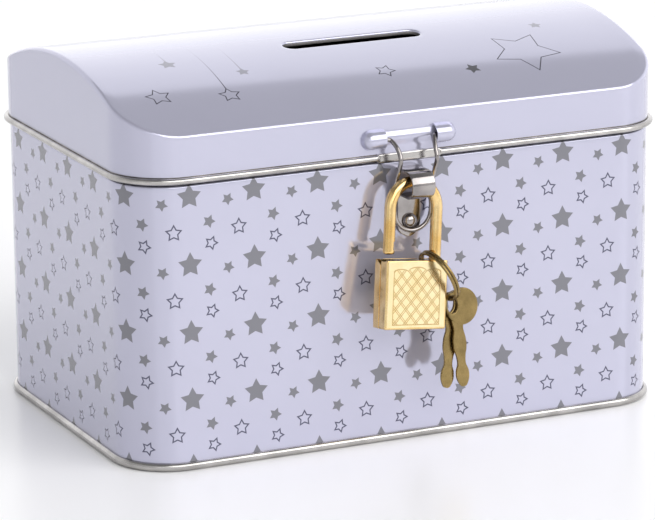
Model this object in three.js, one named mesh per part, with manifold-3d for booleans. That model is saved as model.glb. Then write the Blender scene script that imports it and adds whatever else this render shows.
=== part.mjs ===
// Tin money box: a hinged chest of printed tinplate with a vaulted lid and a coin slot. A wire hasp
// swings from the lid over a riveted staple, and an open padlock hangs in the staple with its key
// ring and two keys. Millimetres, +Z up, the front faces -Y, and the box stands on Z = 0.

import * as THREE from 'three';
import { mergeVertices } from 'three/addons/utils/BufferGeometryUtils.js';
import Module from 'manifold-3d';

const wasm = await Module();
wasm.setup();

// ---- Driving dimensions -----------------------------------------------------------------------

const GAP = 0.3; // clearance between pieces that touch on the real box
const SHEET = 0.4; // tinplate thickness
const CORNER_STEPS = 6; // straight steps in each rounded corner

// box
const BODY_LENGTH = 130; // outside of the printed wall, along X
const BODY_WIDTH = 83; // outside of the printed wall, along Y
const CORNER_RADIUS = 12.6;
const SEAM_HEIGHT = 1.8; // curled seam round the base
const SEAM_OUT = 1.0; // how far the seam stands out from the wall
const PANEL_Z = 2.4; // underside of the recessed base panel
const SHOULDER_Z = 63.4; // top of the printed wall, where it steps in for the lid
const NECK_INSET = 0.9;
const NECK_TOP = 70.3;
const FRONT_Y = -BODY_WIDTH / 2;

// lid
const LID_OUT = 0.3; // lid skirt outside the body wall
const CURL_RADIUS = 0.7; // outward curl along the lid's edge
const CURL_Z = 64.6;
const CREASE_Z = 74.7; // where the skirt turns into the vault, at the front and back
const CREASE_HALF_WIDTH = 41;
const CROWN_Z = 85.5;
const VAULT_RISE = CROWN_Z - CREASE_Z;
const VAULT_RADIUS = (CREASE_HALF_WIDTH ** 2 + VAULT_RISE ** 2) / (2 * VAULT_RISE);
const SLOT_LENGTH = 33.5;
const SLOT_WIDTH = 4.4;
const SLOT_Y = -11.5;
const SLOT_X = 0.9;

// hinge
const HINGE_Y = BODY_WIDTH / 2 + GAP + 1.4;
const HINGE_Z = 64.5;
const KNUCKLE_RADIUS = 1.4;
const KNUCKLE_BORE = 1.0;
const PIN_RADIUS = 0.7;
const HINGE_LENGTH = 88;
const STRAP_X = 33;
const STRAP_WIDTH = 9;
const STRAP_FOOT_Z = 55.5;

// hasp and its bosses on the lid skirt
const BOSS_Z = 68.8;
const BOSS_RADIUS = 2.05;
const BOSS_INNER_X = 6.1;
const BOSS_OUTER_X = 9.2;
const BOSS_OUT = 0.65; // boss axis, out from the wall
const CURL_FLAT_HALF = 7.5; // the curl is flattened this far each way behind the hasp
const CURL_FLAT_OUT = 1.05;
const HASP_WIRE = 0.5; // wire radius
const HASP_HALF_WIDTH = 4.4;
const HASP_SHIFT = 0.4; // the hasp has slid this far to the right in its bosses
const HASP_PIVOT_OUT = 1.5;
const HASP_END_X = 8.8;
const HASP_BOTTOM_Z = 47.9;

// staple
const STRIP_WIDTH = 5.5;
const STRIP_THICKNESS = 0.5;
const EYE_Z = 59.0; // centre of the staple's loop
const EYE_RADIUS = 2.6; // inside of the bend
const EYE_REACH = 5.3; // how far out the bend's centre lies
const RIVET_Z = 49.9;
const STRIP_END_Z = 49.1; // centre of the strip's rounded end

// padlock, in its own frame: origin at the centre of the shackle's arch, legs along -Z
const LEG_X = 5.85;
const BAR_RADIUS = 1.3;
const TOE_END_Z = -10.05;
const LOCK_TOP_Z = -11.25;
const LOCK_HEIGHT = 15.1;
const LOCK_WIDTH = 15.4;
const LOCK_THICKNESS = 5.6;
const COVER = 0.45; // brass sheet of the covers
const LOCK_BOTTOM_Z = LOCK_TOP_Z - LOCK_HEIGHT;
const NECK_RADIUS = 0.8; // waist of the heel leg that the stop pin rides in
const NECK_Z = [-18.2, -12.3];
const HEEL_END_Z = -19.0;
const LEG_BORE = 1.55;
const HEEL_BORE_END_Z = -24.9;
const TOE_BORE_END_Z = -15.4;
const STOP_PIN_X = 4.5;
const STOP_PIN_Z = -17.6;
const LATCH_Z = -12.9;
const CLOSING_TRAVEL = 4.7; // the lock slides this far up the heel leg to close

// key ring and keys, in the padlock's frame
const RING_RADIUS = 6.0;
const RING_WIRE = 0.36; // wire radius
const RING_PITCH = 1.52; // how far the two turns drift apart from end to end
const RING_FORWARD = 0.5; // the ring sits this far towards the front, clear of the wall
const RING_TOP = [3.45, -9.9]; // X and Z of the top of the ring, beside the heel leg
const RING_SLANT = THREE.MathUtils.degToRad(34);
const KEY_THICKNESS = 0.7;
const KEY_DROP = 1.4; // the hole's centre, below the ring's wire

// ---- Looks --------------------------------------------------------------------------------------

const paint = (color, roughness, metalness) =>
  new THREE.MeshStandardMaterial({ color, roughness, metalness });
const enamel = paint(0xd8d8e4, 0.18, 0.0);
const tinplate = paint(0xc4c4c8, 0.25, 1.0);
const nickel = paint(0xb8b6b4, 0.2, 1.0);
const gilt = paint(0xe0b048, 0.28, 1.0);
const springSteel = paint(0x8c8c90, 0.35, 1.0);

// ---- Solids: joining and cutting ----------------------------------------------------------------

function toManifold(geometry) {
  const bare = geometry.clone();
  bare.deleteAttribute('normal');
  bare.deleteAttribute('uv');
  const merged = mergeVertices(bare, 1e-4);
  const triangles = [];
  for (let i = 0; i < merged.index.count; i += 3) {
    const [a, b, c] = [0, 1, 2].map((k) => merged.index.getX(i + k));
    if (a !== b && b !== c && c !== a) triangles.push(a, b, c);
  }
  const mesh = new wasm.Mesh({
    numProp: 3,
    vertProperties: new Float32Array(merged.attributes.position.array),
    triVerts: new Uint32Array(triangles),
  });
  return new wasm.Manifold(mesh);
}

function toGeometry(solid) {
  const { vertProperties, triVerts } = solid.getMesh();
  const geometry = new THREE.BufferGeometry();
  geometry.setAttribute('position', new THREE.BufferAttribute(new Float32Array(vertProperties), 3));
  geometry.setIndex(new THREE.BufferAttribute(new Uint32Array(triVerts), 1));
  return geometry;
}

const join = (...pieces) => toGeometry(pieces.map(toManifold).reduce((a, b) => a.add(b)));
const cut = (piece, ...tools) =>
  toGeometry(tools.map(toManifold).reduce((a, b) => a.subtract(b), toManifold(piece)));
const common = (a, b) => toGeometry(toManifold(a).intersect(toManifold(b)));

// ---- Solids: basic shapes -------------------------------------------------------------------------

const X = new THREE.Vector3(1, 0, 0);
const Y = new THREE.Vector3(0, 1, 0);
const Z = new THREE.Vector3(0, 0, 1);
const ALONG_X = new THREE.Matrix4().makeBasis(Y, Z, X); // a section drawn in (Y, Z), extruded along X
const ALONG_Y = new THREE.Matrix4().makeBasis(X, Z, Y.clone().negate()); // drawn in (X, Z)

function block([x0, x1], [y0, y1], [z0, z1]) {
  const box = new THREE.BoxGeometry(x1 - x0, y1 - y0, z1 - z0);
  return box.translate((x0 + x1) / 2, (y0 + y1) / 2, (z0 + z1) / 2);
}

function extrude(shape, depth, curveSegments = 12) {
  return new THREE.ExtrudeGeometry(shape, { depth, curveSegments, bevelEnabled: false });
}

// A section drawn in (Y, Z), centred on X.
function extrudeX(shape, length, x = 0, curveSegments = 12) {
  return extrude(shape, length, curveSegments).applyMatrix4(ALONG_X).translate(x - length / 2, 0, 0);
}

// A section drawn in (X, Z), centred on y.
function extrudeY(shape, thickness, y = 0, curveSegments = 12) {
  return extrude(shape, thickness, curveSegments).applyMatrix4(ALONG_Y).translate(0, y + thickness / 2, 0);
}

function rodX(radius, [x0, x1], y, z, sides = 16) {
  const rod = new THREE.CylinderGeometry(radius, radius, x1 - x0, sides).rotateZ(Math.PI / 2);
  return rod.translate((x0 + x1) / 2, y, z);
}

function rodY(radius, [y0, y1], x, z, sides = 16) {
  return new THREE.CylinderGeometry(radius, radius, y1 - y0, sides).translate(x, (y0 + y1) / 2, z);
}

function rodZ(radius, [z0, z1], x, y, sides = 16) {
  const rod = new THREE.CylinderGeometry(radius, radius, z1 - z0, sides).rotateX(Math.PI / 2);
  return rod.translate(x, y, (z0 + z1) / 2);
}

function polygon(points) {
  return new THREE.Shape(points.map(([a, b]) => new THREE.Vector2(a, b)));
}

function roundedRectangle(inset) {
  const x = BODY_LENGTH / 2 - CORNER_RADIUS;
  const y = BODY_WIDTH / 2 - CORNER_RADIUS;
  const radius = CORNER_RADIUS - inset;
  const shape = new THREE.Shape();
  [[x, y], [-x, y], [-x, -y], [x, -y]].forEach(([cx, cy], k) => {
    shape.absarc(cx, cy, radius, (k * Math.PI) / 2, ((k + 1) * Math.PI) / 2, false);
  });
  return shape;
}

// A closed profile of [inset from the wall, z] points, swept round the box's rounded rectangle. It
// is a lathed ring whose four quarters are moved out to the box's corners.
function sweepRound(profile) {
  const points = [...profile, profile[0]].map(([inset, z]) => new THREE.Vector2(CORNER_RADIUS - inset, z));
  const perCorner = CORNER_STEPS + 1;
  const ring = new THREE.LatheGeometry(points, 4 * perCorner);
  const place = ring.attributes.position;
  for (let i = 0; i < place.count; i += 1) {
    const station = Math.floor(i / points.length) % (4 * perCorner);
    const corner = Math.floor(station / perCorner);
    const angle = ((corner + (station % perCorner) / CORNER_STEPS) * Math.PI) / 2;
    const cornerX = (corner === 0 || corner === 3 ? 1 : -1) * (BODY_LENGTH / 2 - CORNER_RADIUS);
    const cornerY = (corner < 2 ? 1 : -1) * (BODY_WIDTH / 2 - CORNER_RADIUS);
    const { x: radius, y: z } = points[i % points.length];
    place.setXYZ(i, cornerX + radius * Math.cos(angle), cornerY + radius * Math.sin(angle), z);
  }
  return ring;
}

// A round bar or wire along a curve.
function wire(curve, radius, steps, sides = 8) {
  const section = polygon(
    Array.from({ length: sides }, (_, k) => {
      const angle = (2 * Math.PI * k) / sides;
      return [radius * Math.cos(angle), radius * Math.sin(angle)];
    }),
  );
  return new THREE.ExtrudeGeometry(section, { steps, extrudePath: curve, bevelEnabled: false });
}

const smoothCurve = (points) => new THREE.CatmullRomCurve3(points.map((p) => new THREE.Vector3(...p)));

// A compression spring along Z with its foot at z0.
function coilSpring(radius, wireRadius, [z0, z1], turns) {
  const points = Array.from({ length: turns * 8 + 1 }, (_, k) => {
    const angle = (k * Math.PI) / 4;
    const z = z0 + wireRadius + ((z1 - z0 - 2 * wireRadius) * k) / (turns * 8);
    return [radius * Math.cos(angle), radius * Math.sin(angle), z];
  });
  return wire(smoothCurve(points), wireRadius, turns * 10, 5);
}

// ---- Box ------------------------------------------------------------------------------------------

function bodyWall() {
  const hem = [[1.2, NECK_TOP - 0.15], [1.8, NECK_TOP], [2.4, NECK_TOP - 0.4], [2.4, NECK_TOP - 1.2]];
  const neckInside = NECK_INSET + SHEET;
  const shell = sweepRound([
    [0, 0.9],
    [0, SHOULDER_Z],
    [NECK_INSET, SHOULDER_Z + 0.7],
    [NECK_INSET, NECK_TOP - 0.8],
    ...hem,
    [1.9, NECK_TOP - 1.6],
    [neckInside, NECK_TOP - 1.6],
    [neckInside, SHOULDER_Z + 0.9],
    [SHEET, SHOULDER_Z + 0.2],
    [SHEET, 0.9],
  ]);
  const lockSeam = block([-3, 3], [-FRONT_Y - 1.0, -FRONT_Y - 0.2], [PANEL_Z + 1, SHOULDER_Z - 0.5]);
  const tabSlit = block(
    [-STRIP_WIDTH / 2 - GAP, STRIP_WIDTH / 2 + GAP],
    [FRONT_Y - 1, FRONT_Y + 1],
    [EYE_Z + EYE_RADIUS - GAP, EYE_Z + EYE_RADIUS + STRIP_THICKNESS + GAP],
  );
  const rivetHole = rodY(1.3, [FRONT_Y - 1, FRONT_Y + 1], 0, RIVET_Z);
  return cut(join(shell, lockSeam), tabSlit, rivetHole);
}

function basePlate() {
  const seam = sweepRound([
    [0.8, 0],
    [-0.4, 0],
    [-0.8, 0.15],
    [-SEAM_OUT, 0.5],
    [-SEAM_OUT, 1.35],
    [-0.8, SEAM_HEIGHT - 0.1],
    [-0.5, SEAM_HEIGHT],
    [-GAP, SEAM_HEIGHT - 0.25],
    [-GAP, 0.6],
    [SHEET + GAP, 0.6],
    [SHEET + GAP, PANEL_Z + SHEET],
    [1.1, PANEL_Z + SHEET],
    [1.1, 0.3],
  ]);
  const panel = extrude(roundedRectangle(SHEET + GAP + 0.1), SHEET, CORNER_STEPS).translate(0, 0, PANEL_Z);
  return join(seam, panel);
}

function staple() {
  const inner = FRONT_Y + SHEET + GAP;
  const face = FRONT_Y - GAP;
  const bendY = FRONT_Y - EYE_REACH;
  const section = new THREE.Shape();
  section.moveTo(inner, EYE_Z + 0.8);
  section.lineTo(inner + STRIP_THICKNESS, EYE_Z + 0.8);
  section.lineTo(inner + STRIP_THICKNESS, EYE_Z + EYE_RADIUS + STRIP_THICKNESS);
  section.absarc(bendY, EYE_Z, EYE_RADIUS + STRIP_THICKNESS, Math.PI / 2, (3 * Math.PI) / 2, false);
  section.lineTo(face - STRIP_THICKNESS, EYE_Z - EYE_RADIUS - STRIP_THICKNESS);
  section.lineTo(face - STRIP_THICKNESS, STRIP_END_Z);
  section.lineTo(face, STRIP_END_Z);
  section.lineTo(face, EYE_Z - EYE_RADIUS);
  section.absarc(bendY, EYE_Z, EYE_RADIUS, (3 * Math.PI) / 2, Math.PI / 2, true);
  section.lineTo(inner, EYE_Z + EYE_RADIUS);
  const strip = extrudeX(section, STRIP_WIDTH, 0, 10);
  const roundEnd = rodY(STRIP_WIDTH / 2, [face - STRIP_THICKNESS, face], 0, STRIP_END_Z, 24);
  return cut(join(strip, roundEnd), rodY(1.3, [FRONT_Y - 3, FRONT_Y + 3], 0, RIVET_Z));
}

// Shank through the wall, clenched inside, with a domed head outside the staple.
function stapleRivet() {
  const headZ = GAP + STRIP_THICKNESS + GAP;
  const profile = [
    [0, -1.2],
    [1.7, -1.2],
    [1.7, -0.7],
    [1.0, -0.7],
    [1.0, headZ],
    [1.75, headZ],
    [1.7, headZ + 0.35],
    [1.35, headZ + 0.8],
    [0.75, headZ + 1.1],
    [0, headZ + 1.2],
  ];
  const rivet = new THREE.LatheGeometry(profile.map(([r, h]) => new THREE.Vector2(r, h)), 20);
  return rivet.rotateX(Math.PI).translate(0, FRONT_Y, RIVET_Z);
}

// ---- Hinge ----------------------------------------------------------------------------------------

// Spot-welded to the rear wall and rolled round the pin.
function hingeStrap(x) {
  const welded = BODY_WIDTH / 2 + GAP;
  const lip = THREE.MathUtils.degToRad(-110);
  const section = new THREE.Shape();
  section.moveTo(welded, STRAP_FOOT_Z);
  section.lineTo(welded + SHEET, STRAP_FOOT_Z);
  section.absarc(HINGE_Y, HINGE_Z, KNUCKLE_BORE, Math.PI, lip, true);
  section.absarc(HINGE_Y, HINGE_Z, KNUCKLE_RADIUS, lip, Math.PI, false);
  return extrudeX(section, STRAP_WIDTH, x, 12);
}

// ---- Lid ------------------------------------------------------------------------------------------

// Everything under the vault of the given radius, over the plan of the given inset.
function vaulted(inset, radius, z0) {
  const prism = extrude(roundedRectangle(inset), CROWN_Z + 5 - z0, CORNER_STEPS).translate(0, 0, z0);
  const centreZ = CROWN_Z - VAULT_RADIUS;
  const half = BODY_WIDTH / 2 + 2.5; // past the skirt, which trims it
  const spread = Math.asin(half / radius);
  const section = new THREE.Shape();
  section.moveTo(-half, z0 - 1);
  section.lineTo(half, z0 - 1);
  section.absarc(0, centreZ, radius, Math.PI / 2 - spread, Math.PI / 2 + spread, false);
  return common(prism, extrudeX(section, BODY_LENGTH + 10, 0, 24));
}

function hollowBoss(side, radius, innerX) {
  const y = FRONT_Y - BOSS_OUT;
  const reach = [side * innerX, side * BOSS_OUTER_X].sort((a, b) => a - b);
  const dome = new THREE.SphereGeometry(radius, 16, 12).translate(side * BOSS_OUTER_X, y, BOSS_Z);
  return join(rodX(radius, reach, y, BOSS_Z), dome);
}

function lidShell() {
  const vault = cut(
    vaulted(-LID_OUT, VAULT_RADIUS, CURL_Z - 0.2),
    vaulted(SHEET - LID_OUT, VAULT_RADIUS - SHEET, CURL_Z - 3),
  );
  const curl = sweepRound(
    Array.from({ length: 8 }, (_, k) => {
      const angle = (k * Math.PI) / 4;
      return [-CURL_RADIUS - CURL_RADIUS * Math.cos(angle), CURL_Z + CURL_RADIUS * Math.sin(angle)];
    }),
  );
  const knuckle = rodX(KNUCKLE_RADIUS, [-HINGE_LENGTH / 2, HINGE_LENGTH / 2], HINGE_Y, HINGE_Z);
  const pressedRib = rodX(1.5, [-BOSS_INNER_X, BOSS_INNER_X], FRONT_Y + 0.6, BOSS_Z, 24);
  const ribFront = common(pressedRib, block([-20, 20], [FRONT_Y - 3, FRONT_Y + 0.1], [60, 80]));
  const bosses = [-1, 1].map((side) => {
    const boss = hollowBoss(side, BOSS_RADIUS, BOSS_INNER_X);
    return common(boss, block([-20, 20], [FRONT_Y - 5, FRONT_Y], [60, 80]));
  });
  const flatFace = FRONT_Y - CURL_FLAT_OUT;
  const flatSpan = [-CURL_FLAT_HALF, CURL_FLAT_HALF];
  const curlClearedForFlat = block(flatSpan, [FRONT_Y - 3, flatFace], [CURL_Z - 2, CURL_Z + 2]);
  const flat = block(flatSpan, [flatFace, FRONT_Y - 0.2], [CURL_Z - 1, CURL_Z + 1.05]);
  const solid = join(cut(join(vault, curl), curlClearedForFlat), flat, knuckle, ribFront, ...bosses);

  const pinBore = rodX(KNUCKLE_BORE, [-HINGE_LENGTH / 2 - 2, HINGE_LENGTH / 2 + 2], HINGE_Y, HINGE_Z);
  const strapNotches = [-1, 1].map((side) => {
    const half = STRAP_WIDTH / 2 + 0.5;
    const depth = [HINGE_Y - 2, HINGE_Y + 2.8];
    return block([side * STRAP_X - half, side * STRAP_X + half], depth, [HINGE_Z - 3, HINGE_Z + 1.9]);
  });
  const bossHollows = [-1, 1].map((side) => hollowBoss(side, BOSS_RADIUS - SHEET, BOSS_INNER_X - GAP));
  const slotHalf = (SLOT_LENGTH - SLOT_WIDTH) / 2;
  const slotShape = new THREE.Shape();
  slotShape.absarc(SLOT_X + slotHalf, SLOT_Y, SLOT_WIDTH / 2, -Math.PI / 2, Math.PI / 2, false);
  slotShape.absarc(SLOT_X - slotHalf, SLOT_Y, SLOT_WIDTH / 2, Math.PI / 2, (3 * Math.PI) / 2, false);
  const coinSlot = extrude(slotShape, 20, 10).translate(0, 0, CROWN_Z - 12);
  return cut(solid, pinBore, ...strapNotches, ...bossHollows, coinSlot);
}

// ---- Hasp -----------------------------------------------------------------------------------------

function haspWire() {
  const w = HASP_HALF_WIDTH;
  const bowZ = HASP_BOTTOM_Z + w;
  const right = [ // X, distance out from the wall, Z, from the boss down to where the bow starts
    [HASP_END_X, HASP_PIVOT_OUT, BOSS_Z],
    [7.2, HASP_PIVOT_OUT, BOSS_Z],
    [5.5, 1.7, BOSS_Z - 0.1],
    [4.9, 2.6, 68.0],
    [w, 4.2, 66.2],
    [w, 4.9, 64.5],
    [w, 3.8, 61.8],
    [w, 2.1, 58.2],
    [w, 1.75, 55.4],
    [w, 1.8, bowZ],
  ];
  const bow = [30, 60, 90, 120, 150].map((degrees) => {
    const angle = THREE.MathUtils.degToRad(degrees);
    return [w * Math.cos(angle), 1.85, bowZ - w * Math.sin(angle)];
  });
  const left = right.map(([x, out, z]) => [-x, out, z]).reverse();
  const path = [...right, ...bow, ...left].map(([x, out, z]) => [x + HASP_SHIFT, FRONT_Y - out, z]);
  return wire(smoothCurve(path), HASP_WIRE, 72, 8);
}

// ---- Padlock --------------------------------------------------------------------------------------

function shackle() {
  const arch = Array.from({ length: 13 }, (_, k) => {
    const angle = Math.PI - (k * Math.PI) / 12;
    return [LEG_X * Math.cos(angle), 0, LEG_X * Math.sin(angle)];
  });
  const toe = [TOE_END_Z, -7.5, -5, -2.5].map((z) => [-LEG_X, 0, z]);
  const heel = [-3, -6, -9, NECK_Z[1]].map((z) => [LEG_X, 0, z]);
  const bar = wire(smoothCurve([...toe, ...arch, ...heel]), BAR_RADIUS, 44, 12);
  const waist = rodZ(NECK_RADIUS, [NECK_Z[0] - 0.2, NECK_Z[1] + 0.5], LEG_X, 0, 12);
  const foot = rodZ(BAR_RADIUS, [HEEL_END_Z, NECK_Z[0]], LEG_X, 0, 12);
  const latchNotch = block(
    [-LEG_X + BAR_RADIUS - 0.7, -LEG_X + 2],
    [-2, 2],
    [LATCH_Z + CLOSING_TRAVEL - 0.9, LATCH_Z + CLOSING_TRAVEL + 0.9],
  );
  return cut(join(bar, waist, foot), latchNotch);
}

function lockCore() {
  const halfWidth = LOCK_WIDTH / 2 - COVER - 0.25;
  const halfDepth = LOCK_THICKNESS / 2 - COVER - GAP;
  const height = [LOCK_BOTTOM_Z + COVER + GAP, LOCK_TOP_Z];
  const core = block([-halfWidth, halfWidth], [-halfDepth, halfDepth], height);
  const heelBore = rodZ(LEG_BORE, [HEEL_BORE_END_Z, LOCK_TOP_Z + 1], LEG_X, 0);
  const toeBore = rodZ(LEG_BORE, [TOE_BORE_END_Z, LOCK_TOP_Z + 1], -LEG_X, 0);
  const latchPocket = block([-4.6, 2.6], [-0.9, 0.9], [LATCH_Z - 0.9, LATCH_Z + 0.9]);
  const keyway = block([-2.2, 0.8], [-0.45, 0.45], [LOCK_BOTTOM_Z - 1, LATCH_Z]);
  const pinHole = rodY(0.5, [-3, 3], STOP_PIN_X, STOP_PIN_Z, 12);
  return cut(core, heelBore, toeBore, latchPocket, keyway, pinHole);
}

// A brass tray: a face plate with rims down both sides and along the bottom. side is -1 at the front.
function lockCover(side) {
  const half = LOCK_WIDTH / 2;
  const face = (side * LOCK_THICKNESS) / 2;
  const span = (a, b) => [a, b].sort((p, q) => p - q);
  const rim = span(side * GAP * 0.5, face);
  const plate = block([-half, half], span(face, face - side * COVER), [LOCK_BOTTOM_Z, LOCK_TOP_Z]);
  const left = block([-half, -half + COVER], rim, [LOCK_BOTTOM_Z, LOCK_TOP_Z]);
  const right = block([half - COVER, half], rim, [LOCK_BOTTOM_Z, LOCK_TOP_Z]);
  const bottom = block([-half, half], rim, [LOCK_BOTTOM_Z, LOCK_BOTTOM_Z + COVER]);
  const keyhole = block([-2.2, 0.8], [-0.45, 0.45], [LOCK_BOTTOM_Z - 1, LOCK_BOTTOM_Z + 1]);
  return cut(join(plate, left, right, bottom), keyhole);
}

// Bevelled on top, so that the closing toe can push it back.
function latch() {
  const tip = -4.2;
  const section = polygon([
    [tip, LATCH_Z - 0.6],
    [-0.6, LATCH_Z - 0.6],
    [-0.6, LATCH_Z + 0.6],
    [tip + 0.8, LATCH_Z + 0.6],
    [tip, LATCH_Z - 0.2],
  ]);
  return extrudeY(section, 1.2);
}

const latchSpring = () =>
  coilSpring(0.45, 0.12, [-0.3, 2.3], 4).rotateY(Math.PI / 2).translate(0, 0, LATCH_Z);
const shackleSpring = () =>
  coilSpring(0.95, 0.16, [HEEL_BORE_END_Z + 0.2, HEEL_END_Z - 0.2], 5).translate(LEG_X, 0, 0);

// ---- Key ring and keys ------------------------------------------------------------------------------

// Split ring of two turns lying side by side. Its plane holds the Y axis and slants down to the right.
function keyRing() {
  const down = new THREE.Vector3(Math.sin(RING_SLANT), 0, -Math.cos(RING_SLANT));
  const normal = new THREE.Vector3(Math.cos(RING_SLANT), 0, Math.sin(RING_SLANT));
  const centre = new THREE.Vector3(RING_TOP[0], -RING_FORWARD, RING_TOP[1]).addScaledVector(down, RING_RADIUS);
  const count = 36;
  const points = Array.from({ length: count + 1 }, (_, k) => {
    const turn = (k / count) * 1.96 + 0.27;
    const angle = turn * 2 * Math.PI;
    const offset = RING_PITCH * (0.5 - k / count);
    const point = centre.clone().addScaledVector(down, RING_RADIUS * Math.cos(angle));
    point.addScaledVector(Y, RING_RADIUS * Math.sin(angle)).addScaledVector(normal, offset);
    return point.toArray();
  });
  return wire(smoothCurve(points), RING_WIRE, 72, 6);
}

// It hangs from the origin: an oval hole, a bow that bulges to one side, and a blade that swells twice.
function key() {
  const oval = (x, z, halfWidth, halfHeight) => {
    const shape = new THREE.Shape();
    shape.absellipse(x, z, halfWidth, halfHeight, 0, 2 * Math.PI, false, 0);
    return shape;
  };
  const plate = (shape, segments) => extrudeY(shape, KEY_THICKNESS, 0, segments);
  const halfWidths = [ // Z and half the blade's width there
    [-5.2, 1.6], [-7.1, 1.2], [-9.2, 1.6], [-11.2, 1.62], [-13.2, 1.15], [-14.9, 1.05],
    [-16.3, 1.55], [-17.8, 1.62], [-19.2, 1.15], [-20.0, 0.55],
  ];
  const edge = (side) => {
    const knots = halfWidths.map(([z, half]) => new THREE.Vector2(1.0 + side * half, z));
    return new THREE.SplineCurve(knots).getPoints(30).map((knot) => knot.toArray());
  };
  const blade = polygon([...edge(-1), ...edge(1).reverse()]);
  const hole = extrudeY(oval(0, -KEY_DROP, 1.32, 2.0), 6, 0, 12);
  const bow = plate(oval(2.5, -0.8 - KEY_DROP, 4.0, 4.2), 12);
  const rim = plate(oval(0, -KEY_DROP, 1.95, 2.65), 10);
  return cut(join(bow, rim, plate(blade)), hole);
}

// ---- Assembly ---------------------------------------------------------------------------------------

function piece(name, geometry, material, place = [0, 0, 0]) {
  const mesh = new THREE.Mesh(geometry, material);
  mesh.name = name;
  mesh.position.set(...place);
  return mesh;
}

const box = new THREE.Group();
box.add(
  piece('body_wall', bodyWall(), enamel),
  piece('base_plate', basePlate(), tinplate),
  piece('lid_shell', lidShell(), enamel),
  piece('hinge_strap_left', hingeStrap(-STRAP_X), tinplate),
  piece('hinge_strap_right', hingeStrap(STRAP_X), tinplate),
  piece('hinge_pin', rodX(PIN_RADIUS, [-HINGE_LENGTH / 2, HINGE_LENGTH / 2], HINGE_Y, HINGE_Z, 12), nickel),
  piece('hasp_wire', haspWire(), nickel),
  piece('staple', staple(), nickel),
  piece('staple_rivet', stapleRivet(), nickel),
);

// The padlock hangs a little askew: tipped out at the foot, and turned.
const padlock = new THREE.Group();
const restingHeight = EYE_Z - EYE_RADIUS + GAP + 1.6 - (LEG_X - BAR_RADIUS);
padlock.position.set(-1.0, FRONT_Y - 5.0, restingHeight);
padlock.rotation.set(...[-7.1, 6.9, 3.5].map(THREE.MathUtils.degToRad), 'ZYX');
padlock.add(
  piece('shackle', shackle(), gilt),
  piece('lock_core', lockCore(), gilt),
  piece('lock_front_cover', lockCover(-1), gilt),
  piece('lock_back_cover', lockCover(1), gilt),
  piece('latch', latch(), springSteel),
  piece('latch_spring', latchSpring(), springSteel),
  piece('shackle_spring', shackleSpring(), springSteel),
  piece('shackle_stop_pin', rodY(0.35, [-1.9, 1.9], STOP_PIN_X, STOP_PIN_Z, 10), springSteel),
  piece('key_ring', keyRing(), gilt),
);

const ringFoot = [
  RING_TOP[0] + 2 * RING_RADIUS * Math.sin(RING_SLANT),
  RING_TOP[1] - 2 * RING_RADIUS * Math.cos(RING_SLANT),
];
[['key_front', -0.55, -9], ['key_back', 0.55, 2]].forEach(([name, y, degrees]) => {
  const hanging = piece(name, key(), gilt, [ringFoot[0], y, ringFoot[1]]);
  hanging.rotation.y = THREE.MathUtils.degToRad(degrees);
  padlock.add(hanging);
});
box.add(padlock);

// The origin is the centre of the whole assembly's outline on the table.
const outline = new THREE.Box3().setFromObject(box, true).getCenter(new THREE.Vector3());
box.position.set(-outline.x, -outline.y, 0);

export default box;
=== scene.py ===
"""Tin money box with a vaulted lid, a wire hasp and a brass padlock, finished round its CAD frame.

Lengths in the shape functions are millimetres in the box's own axes: X along the front, Y from
front to back with the printed wall from -41.5 to 41.5, and Z up from the table.
"""

import math

import bmesh
import bpy
import numpy as np
from bpy.props import FloatProperty, FloatVectorProperty, PointerProperty
from mathutils import Matrix, Vector


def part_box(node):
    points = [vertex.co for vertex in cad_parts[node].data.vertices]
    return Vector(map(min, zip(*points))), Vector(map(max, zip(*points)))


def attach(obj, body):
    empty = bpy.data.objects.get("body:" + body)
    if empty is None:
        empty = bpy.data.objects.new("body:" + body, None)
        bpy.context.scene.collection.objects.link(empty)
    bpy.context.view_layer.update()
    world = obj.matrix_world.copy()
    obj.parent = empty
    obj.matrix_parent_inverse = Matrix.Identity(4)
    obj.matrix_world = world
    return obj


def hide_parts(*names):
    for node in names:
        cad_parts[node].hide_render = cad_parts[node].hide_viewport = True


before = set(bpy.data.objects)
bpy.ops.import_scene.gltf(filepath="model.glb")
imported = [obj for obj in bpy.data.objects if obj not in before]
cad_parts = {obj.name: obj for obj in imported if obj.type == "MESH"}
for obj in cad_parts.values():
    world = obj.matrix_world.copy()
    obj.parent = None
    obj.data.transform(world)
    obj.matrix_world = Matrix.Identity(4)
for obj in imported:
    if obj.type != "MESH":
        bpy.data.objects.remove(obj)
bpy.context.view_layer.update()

bl_info = {
    "name": "Tin money box",
    "version": (1, 0, 0),
    "blender": (4, 5, 0),
    "location": "View3D > Sidebar > Money box",
    "description": "Builds the visible pieces of a tin money box round its CAD frame",
    "category": "Object",
}

# ---- Sizes shared by several pieces, in millimetres -----------------------------------------------

BODY_LENGTH, BODY_WIDTH, CORNER = 130.0, 83.0, 12.6
FRONT_Y = -BODY_WIDTH / 2
STRAIGHT_X, STRAIGHT_Y = BODY_LENGTH / 2 - CORNER, BODY_WIDTH / 2 - CORNER
SHIFT_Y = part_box("body_wall")[0].y * 1000 - FRONT_Y  # from the box's own axes to the row frame
SHEET = 0.4
LID_OUT = 0.3
CROWN_Z, VAULT_RADIUS = 85.5, 83.224
CURL_Z, CURL_RADIUS = 64.6, 0.7
HINGE_Y, HINGE_Z = 43.2, 64.5
BOSS_Z, BOSS_RADIUS, BOSS_OUT = 68.8, 2.05, 0.65
BOSS_INNER, BOSS_OUTER = 6.1, 9.2
SLOT_X, SLOT_Y = 0.9, -11.5
STAR_WAIST = 0.53  # a star's inner radius over its outer one

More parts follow.
